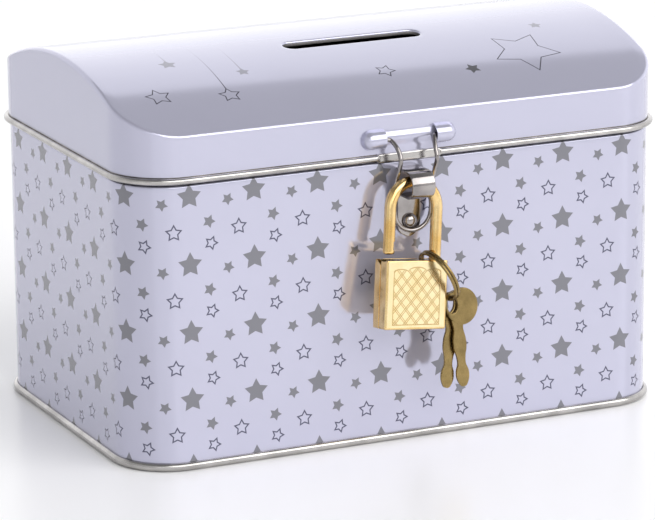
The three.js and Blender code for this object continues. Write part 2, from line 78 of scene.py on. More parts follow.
# the padlock's own frame: origin at the centre of the shackle's arch, legs along -Z
LOCK_PLACE = (-1.0, -46.5, 53.75)
LOCK_TILT = (-7.1, 6.9, 3.5)
LEG_X, BAR_RADIUS = 5.85, 1.3
WIRE_RADIUS, RING_WIRE = 0.5, 0.35
LOCK_TOP, LOCK_HEIGHT, LOCK_WIDTH, LOCK_THICK = -11.25, 15.1, 15.4, 5.6
RING_TOP, RING_RADIUS, RING_SLANT = (3.45, -9.9), 6.0, math.radians(34)


CAMERA_PLACE_AND_AIM = (-371.63, -797.413, 265.59), (-19.46, -41.503, 43.07)

# ---- Surfaces: grids of points made into meshes -----------------------------------------------------


def faces_of(rows, columns, wrap_rows, wrap_columns):
    """Quads between neighbouring points of a rows x columns grid."""
    r, c = np.meshgrid(
        np.arange(rows - (not wrap_rows)), np.arange(columns - (not wrap_columns)), indexing="ij"
    )
    r, c = r.ravel(), c.ravel()
    r1, c1 = (r + 1) % rows, (c + 1) % columns
    return np.stack([r * columns + c, r * columns + c1, r1 * columns + c1, r1 * columns + c], 1)


def in_lock(points):
    """Points of the padlock's frame put where the padlock hangs."""
    tilt = [Matrix.Rotation(math.radians(a), 3, k) for a, k in zip(LOCK_TILT, "XYZ")]
    turn = np.array(tilt[2] @ tilt[1] @ tilt[0])
    return points @ turn.T + np.array(LOCK_PLACE)


def add_piece(name, body, replaced, grids, finishes, inside=None):
    """One mesh piece from several grids. A grid is (points, wrap rows, wrap columns), and may add a
    dict with uv, the two coordinates of every point, and finish, the finish of each column."""
    points, quads, uvs, slots, start = [], [], [], [], 0
    for grid in grids:
        place, wrap_rows, wrap_columns, *more = grid
        more = more[0] if more else {}
        rows, columns = place.shape[:2]
        flat = place.reshape(-1, 3)
        faces = faces_of(rows, columns, wrap_rows, wrap_columns)
        uv = more["uv"].reshape(-1, 2) if "uv" in more else np.zeros((len(flat), 2))
        chosen = more.get("finish", np.zeros(columns, int))
        points.append(inside(flat) if inside else flat)
        quads.append(faces + start)
        uvs.append(uv)
        slots.append(np.broadcast_to(chosen, (rows, columns)).ravel()[faces[:, 0]])
        start += len(flat)
    points, quads, uvs = np.vstack(points), np.vstack(quads), np.vstack(uvs)
    mesh = bpy.data.meshes.new(name)
    mesh.from_pydata(((points + [0, SHIFT_Y, 0]) / 1000).tolist(), [], quads.tolist())
    layer = mesh.uv_layers.new(name="print")
    layer.data.foreach_set("uv", uvs[quads.ravel()].astype(np.float32).ravel())
    mesh.polygons.foreach_set("material_index", np.concatenate(slots).astype(np.int32))
    for finish in finishes:
        mesh.materials.append(finish)
    tidy = bmesh.new()
    tidy.from_mesh(mesh)
    bmesh.ops.remove_doubles(tidy, verts=tidy.verts, dist=2e-7)
    bmesh.ops.dissolve_degenerate(tidy, edges=tidy.edges, dist=1e-8)
    bmesh.ops.recalc_face_normals(tidy, faces=tidy.faces)
    for face in tidy.faces:
        face.smooth = True
    tidy.to_mesh(mesh)
    tidy.free()
    mesh.update()
    piece = bpy.data.objects.new(name, mesh)
    bpy.context.scene.collection.objects.link(piece)
    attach(piece, body)
    if replaced:
        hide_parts(*replaced)
    return piece


def sharpen(piece, degrees):
    """Shades the piece flat across edges that turn more than this."""
    piece.data.set_sharp_from_angle(angle=math.radians(degrees))


def arc(centre, radius, start, stop, count):
    """Points of an arc in a plane, angles in degrees from the first axis."""
    angle = np.radians(np.linspace(start, stop, count))
    return np.stack([centre[0] + radius * np.cos(angle), centre[1] + radius * np.sin(angle)], 1)


def smooth_path(knots, per_span):
    """A centripetal Catmull-Rom curve through the knots, per_span points to each span."""
    knots = np.asarray(knots, float)
    p = np.vstack([2 * knots[0] - knots[1], knots, 2 * knots[-1] - knots[-2]])
    t = np.concatenate([[0], np.cumsum(np.linalg.norm(np.diff(p, axis=0), axis=1) ** 0.5)])
    share = np.linspace(0, 1, per_span, endpoint=False)
    i = np.repeat(np.arange(1, len(p) - 2), per_span)
    at = t[i] + np.tile(share, len(p) - 3) * (t[i + 1] - t[i])

    def mix(a, b, ta, tb):
        return a + (b - a) * ((at - ta) / (tb - ta))[:, None]

    a1 = mix(p[i - 1], p[i], t[i - 1], t[i])
    a2 = mix(p[i], p[i + 1], t[i], t[i + 1])
    a3 = mix(p[i + 1], p[i + 2], t[i + 1], t[i + 2])
    b1 = mix(a1, a2, t[i - 1], t[i + 1])
    b2 = mix(a2, a3, t[i], t[i + 2])
    return np.vstack([mix(b1, b2, t[i], t[i + 1]), knots[-1:]])


def framed(path, side):
    """Two directions across a path: side made square to the path, and the one square to both."""
    along = np.gradient(path, axis=0)
    along /= np.linalg.norm(along, axis=1)[:, None]
    side = np.broadcast_to(np.asarray(side, float), path.shape)
    first = side - along * np.sum(side * along, 1)[:, None]
    first /= np.linalg.norm(first, axis=1)[:, None]
    return first, np.cross(along, first)


def tube(path, first, second, radius, sides):
    """Round sections of the given radius at each point of a path."""
    angle = np.linspace(0, 2 * np.pi, sides, endpoint=False)
    reach = np.asarray(radius, float)
    reach = reach[:, None] if reach.ndim == 1 else reach
    c, s = np.cos(angle)[None, :, None], np.sin(angle)[None, :, None]
    return path[:, None] + reach[..., None] * (first[:, None] * c + second[:, None] * s)


def ended(path, radius, rounding):
    """The radius at each point of a path, rounded off at both ends by a quarter circle."""
    run = np.concatenate([[0], np.cumsum(np.linalg.norm(np.diff(path, axis=0), axis=1))])
    inner = np.minimum(run, run[-1] - run)
    drop = np.clip(1 - inner / rounding, 0, 1)
    return radius - rounding + rounding * np.sqrt(1 - drop**2)


def capped(ring_grid):
    """A grid of rings closed at both ends with a point."""
    first, last = ring_grid[:1].mean(1, keepdims=True), ring_grid[-1:].mean(1, keepdims=True)
    shape = (1,) + ring_grid.shape[1:]
    return np.concatenate([np.broadcast_to(first, shape), ring_grid, np.broadcast_to(last, shape)])


def squared(width, height, power, count):
    """A superellipse of the given half width, half height and power: a rounded rectangle."""
    angle = np.linspace(0, 2 * np.pi, count, endpoint=False) + np.pi / count
    c, s = np.cos(angle), np.sin(angle)
    return np.stack([half * np.sign(t) * np.abs(t) ** (2 / power)
                     for half, t in ((width, c), (height, s))], 1)


def turned(profile, sides=40):
    """A profile of (radius, height) points turned round the height axis, which comes last."""
    angle = np.linspace(0, 2 * np.pi, sides, endpoint=False)
    radius, height = profile[:, :1], profile[:, 1:]
    return np.stack([radius * np.cos(angle), radius * np.sin(angle), height + 0 * angle], -1)


# ---- The box's outline ------------------------------------------------------------------------------


def outline(marks_front, marks_back, corner_steps, side_steps):
    """The wall's rounded rectangle from the middle of the back, running down the left side, along the
    front and up the right side. Gives each point as (x, y, outward x, outward y), and the length
    run to it. A corner is a quarter circle of the corner radius."""
    quarter = np.linspace(0, np.pi / 2, corner_steps + 1)[1:-1]
    side = np.linspace(-STRAIGHT_Y, STRAIGHT_Y, side_steps + 1)
    pieces = []

    def straight(x, y, nx, ny):
        pieces.append(np.stack([x + 0 * y, y + 0 * x, nx + 0 * (x + y), ny + 0 * (x + y)], 1))

    def corner(cx, cy, start):
        a = start + quarter
        pieces.append(
            np.stack([cx + CORNER * np.cos(a), cy + CORNER * np.sin(a), np.cos(a), np.sin(a)], 1)
        )

    back = np.asarray(marks_back, float)
    straight(-back[back >= 0], -FRONT_Y, 0.0, 1.0)
    corner(-STRAIGHT_X, STRAIGHT_Y, np.pi / 2)
    straight(-BODY_LENGTH / 2, -side, -1.0, 0.0)
    corner(-STRAIGHT_X, -STRAIGHT_Y, np.pi)
    straight(np.asarray(marks_front, float), FRONT_Y, 0.0, -1.0)
    corner(STRAIGHT_X, -STRAIGHT_Y, 1.5 * np.pi)
    straight(BODY_LENGTH / 2, side, 1.0, 0.0)
    corner(STRAIGHT_X, STRAIGHT_Y, 0.0)
    straight(back[::-1][back[::-1] >= 0], -FRONT_Y, 0.0, 1.0)
    path = np.vstack(pieces)
    run = np.concatenate([[0], np.cumsum(np.linalg.norm(np.diff(path[:, :2], axis=0), axis=1))])
    return path, run


def carried(path, profile):
    """A profile of (out, z) points carried round the outline: a point stands out from the wall along
    the wall's own direction. The profile is one for all, or one for each point of the outline."""
    profile = np.asarray(profile, float)
    if profile.ndim == 2:
        profile = np.broadcast_to(profile, (len(path),) + profile.shape)
    out, z = profile[..., 0], profile[..., 1]
    return np.stack([path[:, :1] + out * path[:, 2:3], path[:, 1:2] + out * path[:, 3:4], z], -1)


def towards_middle(edge, z, shares):
    """Rings between an edge and the middle of the plan, at one height."""
    ring = edge[:, None, :2] * np.asarray(shares)[None, :, None]
    return np.concatenate([ring, np.full(ring.shape[:2] + (1,), z)], -1)


# ---- Finishes: shader maths written as expressions ---------------------------------------------------


class Value:
    """A socket that Python's operators work on: each adds the Math node that it stands for."""

    def __init__(self, nodes, socket):
        self.nodes, self.socket = nodes, socket

    def maths(self, operation, *others):
        values = dict(enumerate((self, *others)))
        return self.nodes.node("ShaderNodeMath", {"operation": operation}, values)

    def __add__(self, other):
        return self.maths("ADD", other)

    def __sub__(self, other):
        return self.maths("SUBTRACT", other)

    def __mul__(self, other):
        return self.maths("MULTIPLY", other)

    def __truediv__(self, other):
        return self.maths("DIVIDE", other)

    def __rsub__(self, other):
        return self.nodes.node("ShaderNodeMath", {"operation": "SUBTRACT"}, {0: other, 1: self})

    def __abs__(self):
        return self.maths("ABSOLUTE")

    __radd__, __rmul__ = __add__, __mul__

    def clamped(self):
        return self.nodes.node("ShaderNodeClamp", {}, {"Value": self})


class Nodes:
    """A node tree, and one method that adds any node to it."""

    def __init__(self, tree):
        self.tree = tree

    def node(self, kind, settings, inputs, output=0):
        made = self.tree.nodes.new(kind)
        for key, value in settings.items():
            if key == "stops":
                ramp = made.color_ramp.elements
                for k, (position, shade) in enumerate(value):
                    stop = ramp[k] if k < 2 else ramp.new(position)
                    stop.position, stop.color = position, shade
            else:
                setattr(made, key, value)
        for key, value in inputs.items():
            if isinstance(value, Value):
                self.tree.links.new(value.socket, made.inputs[key])
            else:
                made.inputs[key].default_value = value
        return Value(self, made.outputs[output])

    def split(self, vector):
        """The three parts of a vector."""
        part = self.node("ShaderNodeSeparateXYZ", {}, {"Vector": vector})
        return [Value(self, socket) for socket in part.socket.node.outputs]


class Finish(Nodes):
    """One material: a node tree with a Principled BSDF."""

    def __init__(self, name, metallic, roughness, **plain):
        self.material = bpy.data.materials.new(name)
        self.material.use_nodes = True
        super().__init__(self.material.node_tree)
        self.shader = self.tree.nodes["Principled BSDF"]
        self.shader.inputs["Metallic"].default_value = metallic
        self.shader.inputs["Roughness"].default_value = roughness
        for socket, value in plain.items():
            self.shader.inputs[socket.replace("_", " ")].default_value = value
        self.place = self.node("ShaderNodeTexCoord", {}, {}, "Object")

    def feed(self, socket, value):
        self.tree.links.new(value.socket, self.shader.inputs[socket])

    def mixed(self, share, first, second):
        """A colour between two, by share."""
        sockets = {0: share, 6: first, 7: second}
        return self.node("ShaderNodeMix", {"data_type": "RGBA"}, sockets, 2)

    def scaled(self, x, y, z):
        """Object coordinates stretched by these numbers of repeats to the metre."""
        return self.node("ShaderNodeMapping", {}, {"Vector": self.place, "Scale": (x, y, z)})

    def noise(self, size, detail=3.0, roughness=0.55, stretch=(1, 1, 1)):
        """Soft noise whose features are about size millimetres, from 0 to 1."""
        where = self.scaled(*[s * 1000 / size for s in stretch])
        values = {"Vector": where, "Scale": 1.0, "Detail": detail, "Roughness": roughness}
        return self.node("ShaderNodeTexNoise", {}, values)

    def bumped(self, height, strength, distance):
        values = {"Height": height, "Strength": strength, "Distance": distance}
        self.feed("Normal", self.node("ShaderNodeBump", {}, values))


def colour(rgb, scale=1.0):
    return (*(scale * c for c in rgb), 1.0)


def toned(rgb, scale):
    return [scale * c for c in rgb]


def star_edge(x, y, radius, turn=0.0):
    """How far outside a five-pointed star's edge a point is. The angle from the upright point is folded
    into half a point, where the edge is one straight line from tip to waist, facing towards lean."""
    half = math.pi / 5
    lean = math.atan2(1 - STAR_WAIST * math.cos(half), STAR_WAIST * math.sin(half))
    reach = (x * x + y * y).maths("SQRT")
    angle = x.maths("ARCTAN2", y) - math.radians(turn)
    folded = angle.maths("PINGPONG", half)
    return reach * (folded - lean).maths("COSINE") - radius * math.cos(lean)


def inked(edge, soft=0.05):
    return (0.5 - edge / soft).clamped()


def lined(edge, line, soft=0.05):
    """Ink along the inside of an edge, line wide."""
    return inked(abs(edge + line / 2) - line / 2, soft)


# One repeat of the wall's print. Places are shares of the repeat, right and down from a large star.
LARGE_STAR, SMALL_STARS = 2.88, [(0.593, 0.098, 1.45, 30), (0.299, 0.393, 1.56, 23.5)]
LINED_STARS = [(0.762, 0.517, 2.02, 0), (0.331, 0.714, 1.74, 23)]
PRINT_START = (10.42, 60.93)  # a large star, by length from the left front corner and height
REPEAT_STRETCH = 1.0015  # the repeat's height over its length

# Single stars on the lid: x, y in plan, radius and turn in degrees
LID_DARK = [(21.5, -30.8, 1.9, -18)]
LID_PALE = [(-45.4, -15.4, 2.15, 1.9), (-30.6, -22.5, 1.62, 5.4), (45.5, -14.8, 1.65, 12.6)]
LID_LINED = [(-53.2, -28.9, 3.15, -5.6), (-37.3, -30.8, 2.7, 0.8), (1.2, -28.2, 2.5, 27),
             (36.8, -26.0, 8.6, -35.6)]
# Trails above a star: x, y in plan, and where the line starts and stops up the sheet
PALE_TRAILS = [(-45.2, -15.4, 1.5, 11.6), (-30.6, -22.5, 1.2, 17.6)]
DARK_TRAIL = (-37.3, -30.8, 2.2, 28.2)
TRAIL_WIDTH = 0.13  # half of it, at the star
VAULT_FOOT = 75.2  # the print stops below this height


def joined(masks):
    """The greatest of several masks."""
    first, *rest = masks
    for mask in rest:
        first = first.maths("MAXIMUM", mask)
    return first


def enamel_finish(name, looks, metallic=0.55):
    """Pearl enamel on tin: silvery lilac, with faint ripples of the sheet and handling marks."""
    coat = {"Coat_Weight": 0.35, "Coat_Roughness": 0.04, "Specular_IOR_Level": 0.5}
    finish = Finish(name, metallic, looks.enamel_roughness, **coat)
    cloud = finish.noise(22, 2.0)
    ground = finish.mixed(cloud, colour(looks.tin_lilac), colour(looks.tin_lilac, 1.06))
    smears = finish.noise(9, 4.0, 0.6, (1, 1, 0.4))
    finish.feed("Roughness", looks.enamel_roughness + (smears - 0.5) * 0.07)
    ripples = finish.noise(7, 3.0, 0.5, (0.35, 1, 1))
    finish.bumped(ripples, 0.5, 0.00003)
    return finish, ground


def printed_body_finish(looks):
    """The repeating star print, on a UV map of length round the wall and height. Each repeat holds a
    large solid star, two small ones, and two outlined ones."""
    finish, ground = enamel_finish("printed_body_enamel", looks)
    along, up, _ = finish.split(finish.node("ShaderNodeUVMap", {"uv_map": "print"}, {}))
    repeat, repeat_z = looks.star_repeat, looks.star_repeat * REPEAT_STRETCH
    first_along, first_up = PRINT_START

    def local(u, v):
        x = ((along - (first_along + u * repeat)) / repeat + 0.5).maths("FRACT") - 0.5
        y = ((up - (first_up - v * repeat_z)) / repeat_z + 0.5).maths("FRACT") - 0.5
        return x * repeat, y * repeat_z

    solid = joined([
        inked(star_edge(*local(u, v), radius, turn))
        for u, v, radius, turn in [(0, 0, LARGE_STAR, 0), *SMALL_STARS]
    ])
    lines = joined([
        lined(star_edge(*local(u, v), radius, turn), looks.line_width)
        for u, v, radius, turn in LINED_STARS
    ])
    ink = finish.mixed(solid, ground, colour(looks.star_grey))
    ink = finish.mixed(lines, ink, colour(looks.line_grey))
    finish.feed("Base Color", ink)
    return finish.material


def printed_lid_finish(looks):
    """Single stars on the vault, laid out on its developed sheet. Three trail a tapering line."""
    finish, ground = enamel_finish("printed_lid_enamel", looks)
    x, y, z = (part * 1000 for part in finish.split(finish.place))
    y = y - SHIFT_Y
    along = (y / VAULT_RADIUS).maths("ARCSINE") * VAULT_RADIUS
    on_vault = inked(VAULT_FOOT - z, 0.1)

    def local(cx, cy):
        return x - cx, along - VAULT_RADIUS * math.asin(cy / VAULT_RADIUS)

    def trail(cx, cy, start, stop):
        """A straight line up the sheet, as wide as its distance from the far end allows."""
        dx, dy = local(cx, cy)
        share = ((stop - dy) / (stop - start)).clamped()
        within = inked(start - dy) * inked(dy - stop)
        return inked(abs(dx) - TRAIL_WIDTH * share, 0.08) * within * share

    def stars(places):
        return [inked(star_edge(*local(cx, cy), radius, turn)) for cx, cy, radius, turn in places]

    solid = joined(stars(LID_DARK))
    pale = joined(stars(LID_PALE) + [trail(*place) for place in PALE_TRAILS])
    lines = joined([trail(*DARK_TRAIL)] + [
        lined(star_edge(*local(cx, cy), radius, turn), looks.line_width * 0.8)
        for cx, cy, radius, turn in LID_LINED
    ])
    ink = finish.mixed(pale * on_vault * 0.75, ground, colour(looks.star_grey))
    ink = finish.mixed(solid * on_vault, ink, colour(looks.star_grey, 0.6))
    ink = finish.mixed(lines * on_vault, ink, colour(looks.line_grey, 0.5))
    finish.feed("Base Color", ink)
    return finish.material


def plain_enamel_finish(looks):
    finish, ground = enamel_finish("plain_enamel", looks)
    finish.feed("Base Color", ground)
    return finish.material


def metal_finish(name, base, deep, roughness, grain, stretch, scratch=0.06):
    """Bare or plated metal: colour drifts between two tones, roughness carries fine rubbing, and the
    grain runs one way."""
    finish = Finish(name, 1.0, roughness)
    drift = finish.noise(grain * 9, 3.0)
    rubbed = finish.noise(grain, 5.0, 0.65, stretch)
    tone = ((drift - 0.35) * 2.2).clamped()
    finish.feed("Base Color", finish.mixed(tone, colour(deep), colour(base)))
    finish.feed("Roughness", roughness + (rubbed - 0.5) * scratch * 2)
    finish.bumped(rubbed, 0.35, 0.00001)
    return finish


def engraved_brass_finish(looks):
    """Polished brass whose engraved lines, kept in the mesh's own coordinate, hold a darker tone: painted
    shade in the grooves.
    """
    finish = metal_finish("engraved_brass", looks.brass_face, looks.brass, 0.2, 0.5, (1, 1, 3))
    depth, _, _ = finish.split(finish.node("ShaderNodeUVMap", {"uv_map": "print"}, {}))
    drift = finish.noise(4.0, 3.0)
    tone = ((drift - 0.35) * 2.2).clamped()
    ground = finish.mixed(tone, colour(looks.brass), colour(looks.brass_face))
    # painted shade: the engraved grooves get a darker brass in place of the shade that they are too
    # shallow to cast
    lines = colour(looks.brass_deep, 0.72)
    finish.feed("Base Color", finish.mixed(depth.clamped(), ground, lines))
    return finish.material


# ---- Sizes and colours a user may change -------------------------------------------------------------


def length(name, description, default):
    """A length in millimetres with its words."""
    return FloatProperty(name=name, description=description + ", mm", default=default, min=0)


def rgb(name, description, default):
    """A colour property with its words."""
    return FloatVectorProperty(
        name=name, description=description, default=default, size=3, subtype="COLOR", min=0, max=1
    )


class MoneyBoxSizes(bpy.types.PropertyGroup):
    """Sizes of the visible pieces, in millimetres."""

    crease: length("Crease", "Rounding between skirt and vault", 0.9)
    slot_length: length("Slot length", "Coin slot, end to end", 33.5)
    slot_width: length("Slot width", "Coin slot, across", 4.4)
    lattice_wide: length("Lattice width", "Engraved diamond, across", 2.62)
    lattice_high: length("Lattice height", "Engraved diamond, up", 3.0)
    engraving: length("Engraving", "Depth of the engraved lines", 0.012)


class MoneyBoxLooks(bpy.types.PropertyGroup):
    """Colours and finish of the pieces and the print."""

    tin_lilac: rgb("Tin", "Pearl ground of the printed tin", (0.49, 0.49, 0.605))
    star_grey: rgb("Star grey", "Solid printed stars", (0.2, 0.2, 0.225))
    line_grey: rgb("Line grey", "Outlined printed stars", (0.1, 0.1, 0.15))
    bare_tin: rgb("Bare tin", "Unprinted curls and seams", (0.62, 0.6, 0.58))
    nickel: rgb("Nickel", "Hasp, staple and rivet", (0.45, 0.42, 0.41))
    key_metal: rgb("Key metal", "Dull olive plating of keys and ring", (0.4, 0.29, 0.12))
    brass: rgb("Brass", "Polished plating of the padlock", (0.95, 0.76, 0.42))
    brass_face: rgb("Pale brass", "Polished face of the padlock", (1.0, 0.87, 0.56))
    brass_deep: rgb("Deep brass", "Worn and shaded tone of the brass", (0.78, 0.5, 0.17))
    enamel_roughness: FloatProperty(
        name="Enamel roughness", description="Gloss of the tin", default=0.13, min=0, max=1
    )
    star_repeat: length("Star repeat", "Pitch of the star print", 15.06)
    line_width: length("Line width", "Printed outlines", 0.3)
    floor_white: rgb("Floor", "Studio floor", (0.96, 0.96, 0.965))


def finishes_of(looks):
    """Every finish, made once."""
    found = bpy.data.materials.get
    if not found("bare_tinplate"):
        printed_body_finish(looks)
        printed_lid_finish(looks)
        plain_enamel_finish(looks)
        dull = toned(looks.bare_tin, 0.6)
        for name, base, deep, rough, grain, stretch in [
            ("bare_tinplate", looks.bare_tin, dull, 0.2, 0.8, (1, 1, 1)),
            ("inner_tinplate", toned(looks.bare_tin, 0.8), dull, 0.34, 1.5, (1, 1, 0.2)),
            ("polished_nickel", looks.nickel, toned(looks.nickel, 0.6), 0.12, 0.6, (1, 1, 1)),
            ("polished_brass", looks.brass, looks.brass_deep, 0.17, 0.5, (1, 1, 4)),
            ("worn_brass", looks.key_metal, toned(looks.key_metal, 0.6), 0.26, 0.35, (1, 1, 1)),
            ("spring_steel", (0.42, 0.42, 0.44), (0.24, 0.24, 0.26), 0.3, 0.4, (1, 1, 1)),
        ]:
            metal_finish(name, base, deep, rough, grain, stretch)
        engraved_brass_finish(looks)
    return {m.name: m for m in bpy.data.materials}


def sizes_and_finishes(context):
    """What the operators share. A piece that can't be built raises, and the script stops."""
    return context.scene.money_box_sizes, finishes_of(context.scene.money_box_looks)


# ---- Operators: one for each piece or group of like pieces -------------------------------------------


class MONEYBOX_OT_body(bpy.types.Operator):
    """The printed wall with its shoulder, neck and inward hem, and the lock seam up the back."""

    bl_idname = "moneybox.body"
    bl_label = "Printed body"

    def execute(self, context):
        _, finish = sizes_and_finishes(context)
        front = np.linspace(-STRAIGHT_X, STRAIGHT_X, 43)
        back = np.linspace(STRAIGHT_X, 0, 22)[::-1]
        path, run = outline(front, back, 32, 24)
        hem = arc((1.65, 69.65), 0.65, 180, -60, 14)
        inset = np.vstack([
            [[0.4, 0.9], [0.0, 0.9], [0.0, 1.6]],
            np.stack([np.zeros(16), np.linspace(4, 62.6, 16)], 1),
            arc((0.55, 62.9), 0.55, 180, 112, 6),
            [[0.6, 63.5], [0.85, 63.9], [0.9, 64.4], [0.9, 66.5], [0.9, 69.0]],
            hem,
            [[1.75, 68.9], [1.3, 68.7], [1.3, 64.4], [1.0, 63.7], [0.4, 63.2], [0.4, 30.0]],
        ])
        profile = np.stack([-inset[:, 0], inset[:, 1]], 1)
        wall = carried(path, profile)
        columns = len(profile)
        middle_of_corner = 2 * STRAIGHT_Y + STRAIGHT_X + 0.75 * np.pi * CORNER
        along = (run - middle_of_corner)[:, None]
        uv = np.stack(np.broadcast_arrays(along, profile[None, :, 1]), -1)
        kinds = np.where(np.arange(columns) < 24, 0, 1)
        kinds[0] = 1
        seam_profile = squared(3.0, 0.35, 12, 24)
        heights = np.array([3.4, 3.6, 20, 40, 62.4, 62.6])
        seam = np.stack([
            seam_profile[None, :, 0] + 0 * heights[:, None],
            -FRONT_Y - 0.6 + seam_profile[None, :, 1] * np.array([0.2, 1, 1, 1, 1, 0.2])[:, None],
            heights[:, None] + 0 * seam_profile[None, :, 0],
        ], -1)
        wall = add_piece(
            "printed_body", "box", ["body_wall"],
            [(wall, False, True, {"uv": uv, "finish": kinds}),
             (capped(seam), False, True, {"finish": np.full(24, 1)})],
            [finish["printed_body_enamel"], finish["inner_tinplate"]],
        )
        sharpen(wall, 40)
        return {"FINISHED"}


class MONEYBOX_OT_base(bpy.types.Operator):
    """The base: a rolled seam round the foot and a recessed panel."""

    bl_idname = "moneybox.base"
    bl_label = "Base and foot seam"

    def execute(self, context):
        _, finish = sizes_and_finishes(context)
        front, back = np.linspace(-STRAIGHT_X, STRAIGHT_X, 30), np.linspace(0, STRAIGHT_X, 15)
        path, _ = outline(front, back, 28, 14)
        bead = arc((0.12, 0.9), 0.88, -90, 90, 18)
        profile = np.vstack([
            [[-1.1, 2.4], [-1.1, 0.35], [-1.0, 0.08], [-0.8, 0.0], [-0.3, 0.0]],
            bead,
            [[0.03, 1.62], [0.03, 0.6], [-0.68, 0.6], [-0.7, 2.7], [-0.75, 2.8], [-1.1, 2.8]],
        ])
        rim = carried(path, profile)
        shares = np.linspace(0, 1, 9)[:-1]
        edge = rim[:, 0]
        raised = np.interp(shares, [0, 0.7, 0.86, 0.94, 1], [0.5, 0.5, 0.1, 0, 0])
        under = towards_middle(edge, 2.4, shares)
        over = towards_middle(edge, 2.8, shares[::-1])
        under[..., 2] += raised
        over[..., 2] += raised[::-1]
        add_piece(
            "foot_seam_and_base", "box", ["base_plate"],
            [(np.concatenate([under, rim, over], 1), True, False)], [finish["bare_tinplate"]],
        )
        return {"FINISHED"}


def vault(y):
    return CROWN_Z - VAULT_RADIUS + np.sqrt(VAULT_RADIUS**2 - y**2)


def slot_outline(path, grow, length, width):
    """The coin slot's outline, grown outward, matched to the box's outline: straight runs to straight
    runs by their share, and the whole of each end to half a circle by length run."""
    half, radius = (length - width) / 2, width / 2 + grow
    x, y = path[:, 0], path[:, 1]
    end_run = np.pi * CORNER / 2 + STRAIGHT_Y
    swing = np.arctan2(y - np.sign(y) * STRAIGHT_Y, np.abs(x) - STRAIGHT_X)
    in_corner = (np.abs(y) > STRAIGHT_Y) & (np.abs(x) > STRAIGHT_X)
    run = np.where(in_corner, np.sign(y) * (STRAIGHT_Y + CORNER * np.abs(swing)), y)
    run = np.clip(run, -end_run, end_run)
    angle = run / end_run * np.pi / 2
    at_end = np.abs(x) > STRAIGHT_X + 1e-9
    flat_x = x / STRAIGHT_X * half
    px = np.where(at_end, np.sign(x) * (half + radius * np.cos(angle)), flat_x)
    py = np.where(at_end, radius * np.sin(angle), np.sign(y) * radius)
    return np.stack([px + SLOT_X, py + SLOT_Y], 1)


